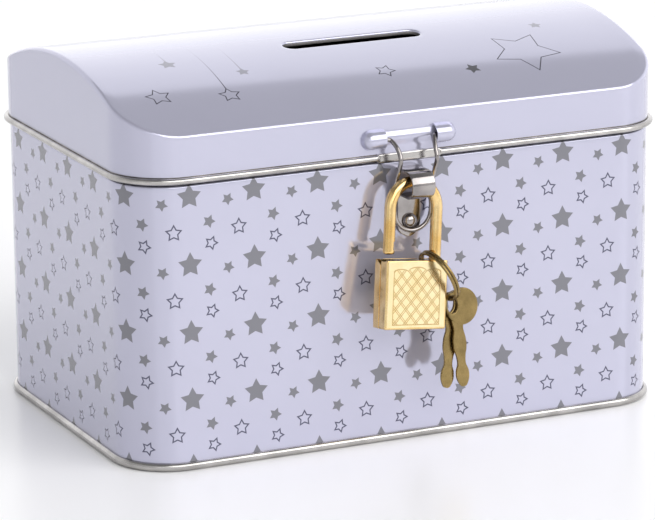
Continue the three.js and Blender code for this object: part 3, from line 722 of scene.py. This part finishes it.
class MONEYBOX_OT_lid(bpy.types.Operator):
    """The lid: one sheet from the coin slot's rolled rim over the vault, round the crease, down the skirt
    to the bare curl, and back up inside. Its two coordinates are the way round and the way down."""

    bl_idname = "moneybox.lid"
    bl_label = "Vaulted lid"

    def execute(self, context):
        sizes, finish = sizes_and_finishes(context)
        notch = [27.95, 28.05, 37.95, 38.05]
        beyond = [30, 33, 36, 41, 44.2, 44.5, 48, STRAIGHT_X]
        marks = np.unique(np.concatenate([np.arange(0, 27, 2.0), notch, beyond]))
        front = np.concatenate([np.linspace(-STRAIGHT_X, -13, 16)[:-1], np.linspace(-13, 13, 105),
                                np.linspace(13, STRAIGHT_X, 16)[1:]])
        path, _ = outline(front, marks, 26, 44)
        x, y = path[:, 0], path[:, 1]
        normal_y = path[:, 3]
        at_front, at_back = normal_y < -0.999, normal_y > 0.999

        def sheet(out, fillet, count):
            """Crease and vault at one face of the sheet: the arc touches the wall and the vault."""
            inset = np.full(len(path), fillet * 0.7)
            for _ in range(4):
                y_touch = y + (out - inset) * normal_y
                slope = np.arctan(y_touch / np.sqrt(VAULT_RADIUS**2 - y_touch**2) * normal_y)
                inset = fillet * (1 - np.sin(slope))
            drop = vault(y_touch) - fillet * np.cos(slope) - (LID_OUT - out)
            top = np.pi / 2 - slope
            angle = top[:, None] * np.linspace(1, 0, count)[None]
            return out - fillet + fillet * np.cos(angle), drop[:, None] + fillet * np.sin(angle)

        fillet_out, fillet_z = sheet(LID_OUT, sizes.crease, 11)
        inner_out, inner_z = sheet(LID_OUT - SHEET, sizes.crease - SHEET, 6)

        # skirt, with the pressed rib between the bosses
        levels = np.linspace(0, 1, 38)[1:]
        skirt_foot = 65.45
        skirt_z = fillet_z[:, -1:] + (skirt_foot - fillet_z[:, -1:]) * levels
        ribbed = np.clip(1 - np.abs((skirt_z - BOSS_Z) / 1.95), 0, 1)
        ends = np.clip((7.6 - np.abs(x)) / 1.0, 0, 1)[:, None] * at_front[:, None]
        skirt_out = LID_OUT + 0.5 * np.sin(ribbed * np.pi / 2) ** 2 * ends

        # the bare curl, flattened in front, and left out behind where the hinge's knuckles stand
        swing = np.radians(np.linspace(140, -150, 26))
        round_out = CURL_RADIUS + CURL_RADIUS * np.cos(swing)
        round_z = CURL_Z + CURL_RADIUS * np.sin(swing)
        box_out = 0.35 + 0.7 * np.sign(np.cos(swing)) * np.abs(np.cos(swing)) ** 0.45
        box_z = 64.52 + 1.02 * np.sign(np.sin(swing)) * np.abs(np.sin(swing)) ** 0.45
        flat = np.clip((7.8 - np.abs(x)) / 0.6, 0, 1)[:, None] * at_front[:, None]
        flat = flat * flat * (3 - 2 * flat)
        hinged = ((np.abs(x) < 44.3) & at_back)[:, None]
        notched = ((np.abs(x) > 28) & (np.abs(x) < 38) & at_back)[:, None]
        edge_z = np.where(notched, 66.4, 64.6)
        plain_out, plain_z = 0.1 + 0.2 * np.cos(swing), edge_z + 0.2 * np.sin(swing)
        curl_out = np.where(hinged, plain_out, round_out + (box_out - round_out) * flat)
        curl_z = np.where(hinged, plain_z, round_z + (box_z - round_z) * flat)
        skirt_z = np.where(notched, fillet_z[:, -1:] + (66.6 - fillet_z[:, -1:]) * levels, skirt_z)

        inner_levels = np.linspace(0, 1, 7)[:-1]
        inner_foot = np.where(notched, 66.5, 64.7)
        inside_out = np.full((len(path), 6), LID_OUT - SHEET)
        inside_z = inner_foot + (inner_z[:, -1:] - inner_foot) * inner_levels
        walls = [
            np.stack([fillet_out, fillet_z], -1), np.stack([skirt_out, skirt_z], -1),
            np.stack([curl_out, curl_z], -1), np.stack([inside_out, inside_z], -1),
            np.stack([inner_out[:, ::-1], inner_z[:, ::-1]], -1),
        ]
        shell = carried(path, np.concatenate(walls, 1))

        # the vault between the crease and the slot, outside and inside, and the slot's rolled rim
        lip = 0.45

        def slot(grow):
            return slot_outline(path, grow, sizes.slot_length, sizes.slot_width)

        rim = slot(lip)
        share = (np.linspace(0, 1, 31) ** 1.15)[:-1]

        def over(edge, share, drop):
            plan = rim[:, None] + (edge[:, None, :2] - rim[:, None]) * share[None, :, None]
            return np.concatenate([plan, vault(plan[..., 1:]) - drop], -1)

        outside = over(shell[:, 0], share, 0.0)
        inside = over(shell[:, -1], np.linspace(1, 0, 13)[1:], SHEET)
        roll = np.radians(np.linspace(90, 180, 6))
        inward = [slot(lip + lip * np.cos(a)) for a in roll]
        rolled = np.stack([np.concatenate([p, vault(rim[:, 1:]) - lip + lip * np.sin(a)], 1)
                           for p, a in zip(inward, roll)], 1)
        foot = [np.concatenate([slot(grow), vault(rim[:, 1:]) - drop], 1)
                for grow, drop in [(0, 1.1), (0.25, 1.1), (0.25, 0.75)]]
        slot_rim = np.stack([*foot[::-1], *[rolled[:, k] for k in range(5, 0, -1)]], 1)
        grid = np.concatenate([slot_rim, outside, shell, inside], 1)
        counts = [slot_rim.shape[1], outside.shape[1], 11, 37, 26]
        kinds = np.full(grid.shape[1], 2)
        kinds[: sum(counts[:4])] = 0
        kinds[sum(counts[:4]) - 1 : sum(counts)] = 1
        kinds[:3] = 2
        lid = add_piece(
            "vaulted_lid", "lid", ["lid_shell"],
            [(grid, True, True, {"finish": kinds})],
            [finish["printed_lid_enamel"], finish["bare_tinplate"], finish["inner_tinplate"]],
        )
        sharpen(lid, 50)

        tubes = []
        for x0, x1 in [(-44, -38), (-28, 28), (38, 44)]:
            ends = np.array([x0, x0, x0 + 0.25, x1 - 0.25, x1, x1, x1 - 0.1, x0 + 0.1])
            radii = np.array([1.05, 1.2, 1.4, 1.4, 1.2, 1.05, 1.0, 1.0])
            ring = turned(np.stack([radii, ends], 1), 36)
            across, up, along = ring[..., 0], ring[..., 1], ring[..., 2]
            tubes.append((np.stack([along, HINGE_Y + across, HINGE_Z + up], -1), True, True))
        knuckles = add_piece("lid_knuckles", "lid", [], tubes,
                             [finish["plain_enamel"]])
        sharpen(knuckles, 40)
        return {"FINISHED"}


class MONEYBOX_OT_bosses(bpy.types.Operator):
    """Two pressed bosses that hold the hasp's ends: hollow half capsules, open towards each other. A
    boss flares where it leaves the skirt, and it is cut off at the skirt."""

    bl_idname = "moneybox.bosses"
    bl_label = "Hasp bosses"

    def execute(self, context):
        _, finish = sizes_and_finishes(context)
        def capsule(radius, floor, start):
            dome = np.radians(np.linspace(0, 90, 12))
            straight = np.linspace(BOSS_OUTER, start, 8)[1:]
            reach = np.concatenate([BOSS_OUTER + radius * np.cos(dome), straight])[:, None]
            across = np.concatenate([radius * np.sin(dome), np.full(7, radius)])
            angle = np.linspace(0, 2 * np.pi, 48, endpoint=False)
            out = BOSS_OUT + across[:, None] * np.cos(angle)
            lift = across[:, None] * np.sin(angle)
            flare = 1 + 0.16 * np.exp(-np.clip(out - 0.2, 0, None) / 0.4)
            long = BOSS_OUTER + (reach - BOSS_OUTER) * np.where(reach > BOSS_OUTER, flare, 1)
            return np.stack([long, FRONT_Y - np.maximum(out, floor), BOSS_Z + lift * flare], -1)

        shells = []
        for side in (-1, 1):
            outer = capsule(BOSS_RADIUS, 0.2, BOSS_INNER)
            inner = capsule(BOSS_RADIUS - SHEET, 0.34, BOSS_INNER + 0.05)
            grid = np.concatenate([outer, inner[::-1]])
            grid[..., 0] *= side
            shells.append((grid, True, True))
        bosses = add_piece("hasp_bosses", "lid", [], shells,
                           [finish["plain_enamel"]])
        sharpen(bosses, 60)
        return {"FINISHED"}


class MONEYBOX_OT_hasp(bpy.types.Operator):
    """The wire hasp: one round wire bent from boss to boss through two knees and a bow."""

    bl_idname = "moneybox.hasp"
    bl_label = "Wire hasp"

    def execute(self, context):
        _, finish = sizes_and_finishes(context)
        w, foot, shift = 4.4, 47.9, 0.4
        right = np.array([
            [8.7, 1.5, 68.8], [7.2, 1.5, 68.8], [5.5, 1.7, 68.7], [4.9, 2.6, 68.0], [w, 4.2, 66.2],
            [w, 4.9, 64.5], [w, 3.8, 61.8], [w, 2.1, 58.2], [w, 1.75, 55.4], [w, 1.8, foot + w],
        ])
        angle = np.radians([30, 60, 90, 120, 150])
        bow = np.stack([w * np.cos(angle), 1.85 + 0 * angle, foot + w - w * np.sin(angle)], 1)
        knots = np.vstack([right, bow, right[::-1] * [-1, 1, 1]])
        knots = np.stack([knots[:, 0] + shift, FRONT_Y - knots[:, 1], knots[:, 2]], 1)
        path = smooth_path(knots, 10)
        radius = ended(path, WIRE_RADIUS, 0.12)
        first, second = framed(path, (0, -1, 0))
        wire = tube(path, first, second, radius, 18)
        add_piece("hasp_bow", "hasp", ["hasp_wire"], [(capped(wire), False, True)],
                  [finish["polished_nickel"]])
        return {"FINISHED"}


class MONEYBOX_OT_staple(bpy.types.Operator):
    """The staple: a steel strip that comes through the wall, loops out, and lies flat under a rivet. A
    rounded strip section is carried along the loop, and narrows to a round foot."""

    bl_idname = "moneybox.staple"
    bl_label = "Staple and rivet"

    def execute(self, context):
        _, finish = sizes_and_finishes(context)
        reach, eye, bend = 5.3, 59.0, 2.85  # the loop's length, its middle's height, its radius
        end_z, half_width, half_thick, rivet_z = 49.1, 2.75, 0.25, 49.9
        path = np.vstack([
            [[-0.95, 59.8], [-0.95, 60.6]],
            arc((-0.35, 61.25), 0.6, 180, 90, 6),
            np.stack([np.linspace(0.2, reach - 0.2, 8), np.full(8, eye + bend)], 1),
            arc((reach, eye), bend, 90, -90, 28),
            np.stack([np.linspace(reach - 0.3, 1.4, 6), np.full(6, eye - bend)], 1),
            arc((1.15, 55.55), 0.6, 90, 180, 6),
            np.stack([np.full(8, 0.55), np.linspace(54.6, end_z, 8)], 1),
            np.stack([np.full(16, 0.55), end_z - 2.74 * np.sin(np.linspace(0, np.pi / 2, 17)[1:])], 1),
        ])
        along = np.gradient(path, axis=0)
        along /= np.linalg.norm(along, axis=1)[:, None]
        below = np.clip(end_z - path[:, 1], 0, 2.74)
        rounded = np.sqrt(np.clip(1 - (below / half_width) ** 2, 0.0001, 1))
        narrow = np.where(path[:, 0] > 0, rounded, 1)
        section = squared(half_width, half_thick, 7, 32)
        wide = section[None, :, 0] * narrow[:, None]
        out = path[:, :1] - along[:, 1:] * section[None, :, 1]
        up = path[:, 1:] + along[:, :1] * section[None, :, 1]
        strip = np.stack([wide, FRONT_Y - out, up], -1)
        staple = add_piece("staple_strip", "box", ["staple"],
                           [(capped(strip), False, True)], [finish["polished_nickel"]])
        sharpen(staple, 35)
        dome = arc((0, 0), 1.0, 0, 90, 12) * [1.72, 1.35] + [0, 0.95]
        stem = [[0, -1.2], [1.45, -1.2], [1.65, -1.1], [1.7, -0.9], [1.6, -0.75], [1.0, -0.7],
                [1.0, 0.8], [1.66, 0.82]]
        profile = np.vstack([stem, dome])
        ring = turned(profile, 36)
        head = np.stack([ring[..., 0], FRONT_Y - ring[..., 2], rivet_z + ring[..., 1]], -1)
        rivet = add_piece("staple_rivet_head", "box", ["staple_rivet"],
                          [(head, False, True)], [finish["polished_nickel"]])
        sharpen(rivet, 50)
        return {"FINISHED"}


class MONEYBOX_OT_shackle(bpy.types.Operator):
    """The shackle: a round bar bent to a half circle, with a rounded toe, a latch notch, and a heel that
    narrows to a waist. The radius is worked out along the bar and round it."""

    bl_idname = "moneybox.shackle"
    bl_label = "Shackle"

    def execute(self, context):
        _, finish = sizes_and_finishes(context)
        toe_end, waist_top, waist_foot, heel_end = -10.05, -12.3, -18.2, -19.0
        arch = np.radians(np.linspace(180, 0, 49))
        toe = np.stack([np.full(60, -LEG_X), np.linspace(toe_end, -0.1, 60)], 1)
        bend = np.stack([LEG_X * np.cos(arch), LEG_X * np.sin(arch)], 1)
        waist = [waist_top - 0.2, -15, waist_foot + 0.2]
        heel_z = np.concatenate([np.linspace(-0.2, waist_top + 0.01, 30), waist,
                                 np.linspace(waist_foot, heel_end, 8)])
        heel = np.stack([np.full(len(heel_z), LEG_X), heel_z], 1)
        flat = np.vstack([toe, bend, heel])
        path = np.stack([flat[:, 0], 0 * flat[:, 0], flat[:, 1]], 1)
        radius = ended(path, BAR_RADIUS, 0.55)
        at_heel = (flat[:, 0] > 0) & (flat[:, 1] < waist_top) & (flat[:, 1] > waist_foot)
        radius = np.where(at_heel, 0.8, radius)
        angle = np.linspace(0, 2 * np.pi, 32, endpoint=False)
        grid_radius = np.repeat(radius[:, None], 32, 1)
        notch = (flat[:, 0] < 0) & (np.abs(flat[:, 1] + 8.2) < 0.9)
        facing = np.cos(angle)
        cutting = (BAR_RADIUS - 0.65) / np.where(facing > 0.05, facing, np.inf)
        cut = np.minimum(grid_radius, np.where(facing > 0.05, cutting, 99)[None])
        grid_radius = np.where(notch[:, None], cut, grid_radius)
        inner = -flat
        inner[: len(toe)] = [1, 0]
        inner[len(toe) + len(bend) :] = [-1, 0]
        inner /= np.linalg.norm(inner, axis=1)[:, None]
        first = np.stack([inner[:, 0], 0 * inner[:, 0], inner[:, 1]], 1)
        second = np.broadcast_to([0.0, 1.0, 0.0], first.shape)
        bar = tube(path, first, second, grid_radius, 32)
        shackle = add_piece("shackle_bar", "shackle", ["shackle"],
                            [(capped(bar), False, True)], [finish["polished_brass"]], in_lock)
        sharpen(shackle, 50)
        return {"FINISHED"}


class MONEYBOX_OT_covers(bpy.types.Operator):
    """The padlock's two pressed covers. A cover is a tray: a face, a rounded fold, and a rim down both
    sides and along the bottom. The front face is engraved with a double-line lattice of diamonds in a
    panel with a three-lobed top, sunk into the mesh, with painted shade in its lines."""

    bl_idname = "moneybox.covers"
    bl_label = "Padlock covers"

    def execute(self, context):
        sizes, finish = sizes_and_finishes(context)
        for name, node, side, engraved in [("lock_front_tray", "lock_front_cover", -1, True),
                                           ("lock_back_tray", "lock_back_cover", 1, False)]:
            tray = self.tray(sizes, side, engraved)
            cover = add_piece(name, "lock", [node], tray,
                              [finish["engraved_brass"], finish["polished_brass"]], in_lock)
            sharpen(cover, 40)
        return {"FINISHED"}

    def engraving(self, sizes, x, z):
        """How deep the engraving is, from 0 to 1, and so how much painted shade its lines get. Two
        families of slanting double lines cross at the lattice's pitch. z runs up from the face's middle."""
        top, foot, half = 6.1, -6.45, 5.85
        lobes = np.maximum(
            1.05 * np.sqrt(np.clip(1 - (x / 2.35) ** 2, 0, 1)),
            0.62 * np.sqrt(np.clip(1 - ((np.abs(x) - 4.1) / 1.85) ** 2, 0, 1)),
        )
        ceiling = top - 1.0 + lobes
        inside = np.minimum(np.minimum(half - np.abs(x), z - foot), ceiling - z)
        wide, high = sizes.lattice_wide, sizes.lattice_high
        pitch = wide * high / math.hypot(wide, high)
        groove = np.zeros_like(x)
        for slant in (-1, 1):
            phase = x / wide + slant * z / high
            across = np.abs((phase + 0.5) % 1 - 0.5) * pitch
            groove = np.maximum(groove, np.clip(1.3 - np.abs(across - 0.19) / 0.085, 0, 1))
        panel = np.clip(inside / 0.12 + 0.5, 0, 1)
        border = np.clip(1.35 - np.abs(inside) / 0.1, 0, 1)
        return np.maximum(groove * panel, border)

    def tray(self, sizes, side, engraved):
        half, face, fold, wall = LOCK_WIDTH / 2, LOCK_THICK / 2, 0.5, 0.45
        foot, top = LOCK_TOP - LOCK_HEIGHT, LOCK_TOP
        count_x, count_z = (290, 292) if engraved else (16, 16)
        x = np.linspace(-half + fold, half - fold, count_x)
        z = np.linspace(foot + fold, top - 0.25, count_z)
        gx, gz = np.meshgrid(x, z)
        depth = self.engraving(sizes, gx, gz - (foot + top) / 2) if engraved else 0 * gx
        flat = np.stack([gx, side * (face - sizes.engraving * depth), gz], -1)
        # the depth goes to the UV map, where the finish turns it into painted shade in the grooves
        uv = np.stack([depth, 0 * depth], -1)

        run_x, run_z = np.ones(count_x - 1), np.ones(count_z - 1)
        edge_x = np.concatenate([x[:-1], x[-1] * run_z, x[:0:-1], x[0] * run_z])
        edge_z = np.concatenate([z[0] * run_x, z[:-1], z[-1] * run_x, z[:0:-1]])
        away_x = np.concatenate([0 * run_x, run_z, 0 * run_x, -run_z])
        away_z = np.concatenate([-run_x, 0 * run_z, run_x, 0 * run_z])
        corner = [0, count_x - 1, count_x + count_z - 2, 2 * count_x + count_z - 3]
        diagonal = [(-1, -1), (1, -1), (1, 1), (-1, 1)]
        for at, (dx, dz) in zip(corner, diagonal):
            away_x[at], away_z[at] = dx * 0.8, dz * 0.8
        is_top = (edge_z >= z[-1] - 1e-9) & (away_z > 0)
        spread = np.where(is_top & (np.abs(away_x) < 0.5), 0.25, fold)
        turn = np.radians(np.linspace(90, 0, 7))
        rim_depth = np.where(is_top, face - wall, 0.15)
        # the outer fold, the rim, its edge, and back inside
        out = [spread * np.cos(a) for a in turn]
        out += [spread, spread - 0.06, spread - wall + 0.05, spread - wall]
        level = [face - np.where(is_top, 0.25, fold) * (1 - np.sin(a)) for a in turn]
        level += [np.maximum(rim_depth + 0.05, 0), rim_depth, rim_depth,
                  np.minimum(rim_depth + 0.05, face - wall)]
        out += [spread - wall, np.full_like(spread, -0.3)]
        level += [np.full_like(spread, face - wall), np.full_like(spread, face - wall)]
        out, level = np.stack(out, 1), np.stack(level, 1)
        limit_out = np.where(is_top[:, None], np.minimum(out, 0.25), out)
        rim = np.stack([
            np.clip(edge_x[:, None] + away_x[:, None] * limit_out, -half, half), side * level,
            np.clip(edge_z[:, None] + away_z[:, None] * limit_out, foot, top),
        ], -1)
        middle = np.array([0, side * (face - wall), (foot + top) / 2])
        closing = rim[:, -1:] + (middle - rim[:, -1:]) * np.linspace(0, 1, 3)[None, 1:, None]
        rim = np.concatenate([rim, closing], 1)
        kinds = np.ones(rim.shape[1], int)
        return [(flat, False, False, {"uv": uv}), (rim, True, False, {"finish": kinds})]


class MONEYBOX_OT_key_ring(bpy.types.Operator):
    """The split ring: a wire of two turns side by side."""

    bl_idname = "moneybox.key_ring"
    bl_label = "Split key ring"

    def execute(self, context):
        _, finish = sizes_and_finishes(context)
        down = np.array([math.sin(RING_SLANT), 0, -math.cos(RING_SLANT)])
        normal = np.array([math.cos(RING_SLANT), 0, math.sin(RING_SLANT)])
        share = np.linspace(0, 1, 241)[:, None]
        angle = (share * 1.96 + 0.27) * 2 * np.pi
        centre = np.array([RING_TOP[0], -0.5, RING_TOP[1]]) + down * RING_RADIUS
        path = centre + down * RING_RADIUS * np.cos(angle) + normal * 1.5 * (0.5 - share)
        path = path + np.array([0, 1, 0]) * RING_RADIUS * np.sin(angle)
        radius = ended(path, RING_WIRE, 0.1)
        first, second = framed(path, normal)
        wire = tube(path, first, second, radius, 14)
        add_piece("split_ring", "key_ring", ["key_ring"],
                  [(capped(wire), False, True)], [finish["worn_brass"]], in_lock)
        return {"FINISHED"}


class MONEYBOX_OT_keys(bpy.types.Operator):
    """Two stamped keys. A bow is a plate between the hole and a D-shaped edge, and a blade is a plate
    whose two edges swell and narrow in waves down to a blunt tip."""

    bl_idname = "moneybox.keys"
    bl_label = "Keys"

    def execute(self, context):
        _, finish = sizes_and_finishes(context)
        foot = (RING_TOP[0] + 2 * RING_RADIUS * math.sin(RING_SLANT),
                RING_TOP[1] - 2 * RING_RADIUS * math.cos(RING_SLANT))
        for name, y, degrees in [("key_front", -0.55, -9), ("key_back", 0.55, 2)]:
            turn = math.radians(degrees)

            def hang(points, y=y, turn=turn):
                c, s = math.cos(turn), math.sin(turn)
                x = foot[0] + points[:, 0] * c + points[:, 2] * s
                z = foot[1] - points[:, 0] * s + points[:, 2] * c
                return in_lock(np.stack([x, y + points[:, 1], z], 1))

            key = add_piece(name + "_plate", name, [name], [self.bow(), self.blade()],
                            [finish["worn_brass"]], hang)
            sharpen(key, 40)
        return {"FINISHED"}

    def bow(self):
        """Rings from the hole's edge over the face to the outer edge and back: the outer edge is the
        farther of two ellipses, seen from the hole, and the hole is an upright oval."""
        angle = np.linspace(0, 2 * np.pi, 120, endpoint=False)
        c, s = np.cos(angle), np.sin(angle)

        def reach_of(x, z, half_x, half_z):
            a = (c / half_x) ** 2 + (s / half_z) ** 2
            b = -2 * (c * x / half_x**2 + s * z / half_z**2)
            rest = (x / half_x) ** 2 + (z / half_z) ** 2 - 1
            return (-b + np.sqrt(b**2 - 4 * a * rest)) / (2 * a)

        hole = reach_of(0, 0, 1.34, 2.02)[:, None]
        edge = np.maximum(reach_of(2.5, -0.8, 3.95, 4.15), reach_of(0, 0, 1.93, 2.62))[:, None]
        half = 0.345
        swing = np.radians(np.linspace(-90, 90, 7))
        face, still, rise = np.linspace(0.12, 0.94, 6), np.zeros(6), half * np.sin(swing)
        share = np.concatenate([face, [1] * 7, face[::-1], [0] * 7])
        tuck = np.concatenate([still, 0.18 * (np.cos(swing) - 1), still, 0.12 * (1 - np.cos(swing))])
        level = np.concatenate([still - half, rise, still + half, -rise])
        reach = hole + (edge - hole) * share + tuck
        return np.stack([reach * c[:, None], level + 0 * reach, reach * s[:, None] - 1.4], -1), True, True

    def blade(self):
        """A flat strip down the key whose half width follows a smooth curve through a few widths."""
        widths = [(-5.0, 1.5), (-7.1, 1.17), (-9.2, 1.57), (-11.2, 1.59), (-13.2, 1.12), (-14.9, 1.02),
                  (-16.3, 1.52), (-17.8, 1.59), (-19.2, 1.12), (-19.85, 0.62), (-19.97, 0.1)]
        curve = smooth_path(widths, 10)
        section = squared(1.0, 0.33, 8, 28)
        x = 1.0 + curve[:, 1:] * section[None, :, 0]
        z = curve[:, :1] + 0 * x
        return capped(np.stack([x, section[None, :, 1] + 0 * x, z], -1)), False, True


class MONEYBOX_OT_kept_nodes(bpy.types.Operator):
    """CAD nodes whose shape is right keep it, and get their finish."""

    bl_idname = "moneybox.kept_nodes"
    bl_label = "Finishes of the kept CAD nodes"

    def execute(self, context):
        _, finish = sizes_and_finishes(context)
        kept = {
            "hinge_strap_left": "bare_tinplate", "hinge_strap_right": "bare_tinplate",
            "hinge_pin": "polished_nickel", "lock_core": "worn_brass", "latch": "spring_steel",
            "latch_spring": "spring_steel", "shackle_spring": "spring_steel",
            "shackle_stop_pin": "spring_steel",
        }
        for node, name in kept.items():
            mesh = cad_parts[node].data
            mesh.materials.clear()
            mesh.materials.append(finish[name])
        return {"FINISHED"}


class MONEYBOX_OT_stage(bpy.types.Operator):
    """Plain pale floor, soft lights, a pale surround and the camera."""

    bl_idname = "moneybox.stage"
    bl_label = "Studio stage"

    def execute(self, context):
        looks = context.scene.money_box_looks
        reach = 12.0
        mesh = bpy.data.meshes.new("studio_floor")
        corners = [(-reach, -reach, 0), (reach, -reach, 0), (reach, reach, 0), (-reach, reach, 0)]
        mesh.from_pydata([(x, y, -0.0001) for x, y, _ in corners], [], [(0, 1, 2, 3)])
        paper = Finish("studio_floor", 0.0, 0.28)
        tone = paper.noise(60, 2.0)
        white = looks.floor_white
        paper.feed("Base Color", paper.mixed(tone, colour(white), colour(white, 1.02)))
        mesh.materials.append(paper.material)
        floor = bpy.data.objects.new("studio_floor", mesh)
        bpy.context.scene.collection.objects.link(floor)
        self.surround()
        for name, place, size, power, tint in [
            ("key_light", (0.7, -1.7, 1.5), (3.0, 2.0), 48.0, (1, 0.99, 0.98)),
            ("fill_light", (-1.2, -2.2, 0.9), (1.6, 1.2), 4.0, (0.97, 0.98, 1)),
        ]:
            self.softbox(name, place, size, power, tint)
        self.camera()
        bpy.context.scene.view_settings.view_transform = "Standard"
        return {"FINISHED"}

    def surround(self):
        """A pale world, brighter near the horizon and dimmer overhead."""
        world = bpy.data.worlds.new("studio_surround")
        bpy.context.scene.world = world
        world.use_nodes = True
        sky = Nodes(world.node_tree)
        x, y, z = sky.split(sky.node("ShaderNodeTexCoord", {}, {}, "Generated"))
        heights = [(0.0, 1.0), (0.3, 1.0), (0.6, 0.84), (0.715, 0.78), (0.74, 0.34), (1.0, 0.28)]
        stops = [(height, (grey, grey, grey * 1.02, 1)) for height, grey in heights]
        reach = {"From Min": -0.8, "From Max": 1.1, "To Min": 0.7, "To Max": 1.4}
        background = sky.tree.nodes["Background"].inputs
        tint = sky.node("ShaderNodeValToRGB", {"stops": stops}, {"Fac": z})
        behind = sky.node("ShaderNodeMapRange", {}, {"Value": x + y, **reach})
        sky.tree.links.new(tint.socket, background["Color"])
        sky.tree.links.new(behind.socket, background["Strength"])

    def softbox(self, name, place, size, power, tint):
        light = bpy.data.lights.new(name, "AREA")
        light.shape, light.size, light.size_y = "RECTANGLE", *size
        light.energy, light.color = power, tint
        lamp = bpy.data.objects.new(name, light)
        lamp.location = place
        aim = Vector((0, 0, 0.04)) - Vector(place)
        lamp.rotation_mode = "QUATERNION"
        lamp.rotation_quaternion = aim.to_track_quat("-Z", "Y")
        bpy.context.scene.collection.objects.link(lamp)

    def camera(self):
        lens = bpy.data.cameras.new("studio_camera")
        lens.lens, lens.sensor_width = 217.97, 36.0
        lens.clip_start, lens.clip_end = 0.01, 60
        camera = bpy.data.objects.new("studio_camera", lens)
        place, aim = (Vector((x, y + SHIFT_Y, z)) / 1000 for x, y, z in CAMERA_PLACE_AND_AIM)
        camera.location = place
        camera.rotation_mode = "QUATERNION"
        roll = Matrix.Rotation(math.radians(-0.48), 3, "Z").to_quaternion()
        camera.rotation_quaternion = (aim - place).to_track_quat("-Z", "Y") @ roll
        bpy.context.scene.collection.objects.link(camera)
        bpy.context.scene.camera = camera


BUILDERS = (
    MONEYBOX_OT_body, MONEYBOX_OT_base, MONEYBOX_OT_lid, MONEYBOX_OT_bosses, MONEYBOX_OT_hasp,
    MONEYBOX_OT_staple, MONEYBOX_OT_shackle, MONEYBOX_OT_covers, MONEYBOX_OT_key_ring,
    MONEYBOX_OT_keys, MONEYBOX_OT_kept_nodes, MONEYBOX_OT_stage,
)


class MONEYBOX_PT_panel(bpy.types.Panel):
    """Lists the builders, and the sizes and colours."""

    bl_idname = "MONEYBOX_PT_panel"
    bl_label = "Money box"
    bl_space_type = "VIEW_3D"
    bl_region_type = "UI"
    bl_category = "Money box"

    def draw(self, context):
        for builder in BUILDERS:
            self.layout.operator(builder.bl_idname)
        for group in (context.scene.money_box_sizes, context.scene.money_box_looks):
            for name in group.bl_rna.properties.keys():
                if name not in {"rna_type", "name"}:
                    self.layout.prop(group, name)


CLASSES = (MoneyBoxSizes, MoneyBoxLooks, *BUILDERS, MONEYBOX_PT_panel)


def register():
    for made in CLASSES:
        bpy.utils.register_class(made)
    bpy.types.Scene.money_box_sizes = PointerProperty(type=MoneyBoxSizes)
    bpy.types.Scene.money_box_looks = PointerProperty(type=MoneyBoxLooks)


def unregister():
    del bpy.types.Scene.money_box_looks
    del bpy.types.Scene.money_box_sizes
    for made in reversed(CLASSES):
        bpy.utils.unregister_class(made)


def main():
    register()
    for builder in BUILDERS:
        group, call = builder.bl_idname.split(".")
        getattr(getattr(bpy.ops, group), call)()


if __name__ == "__main__":
    main()
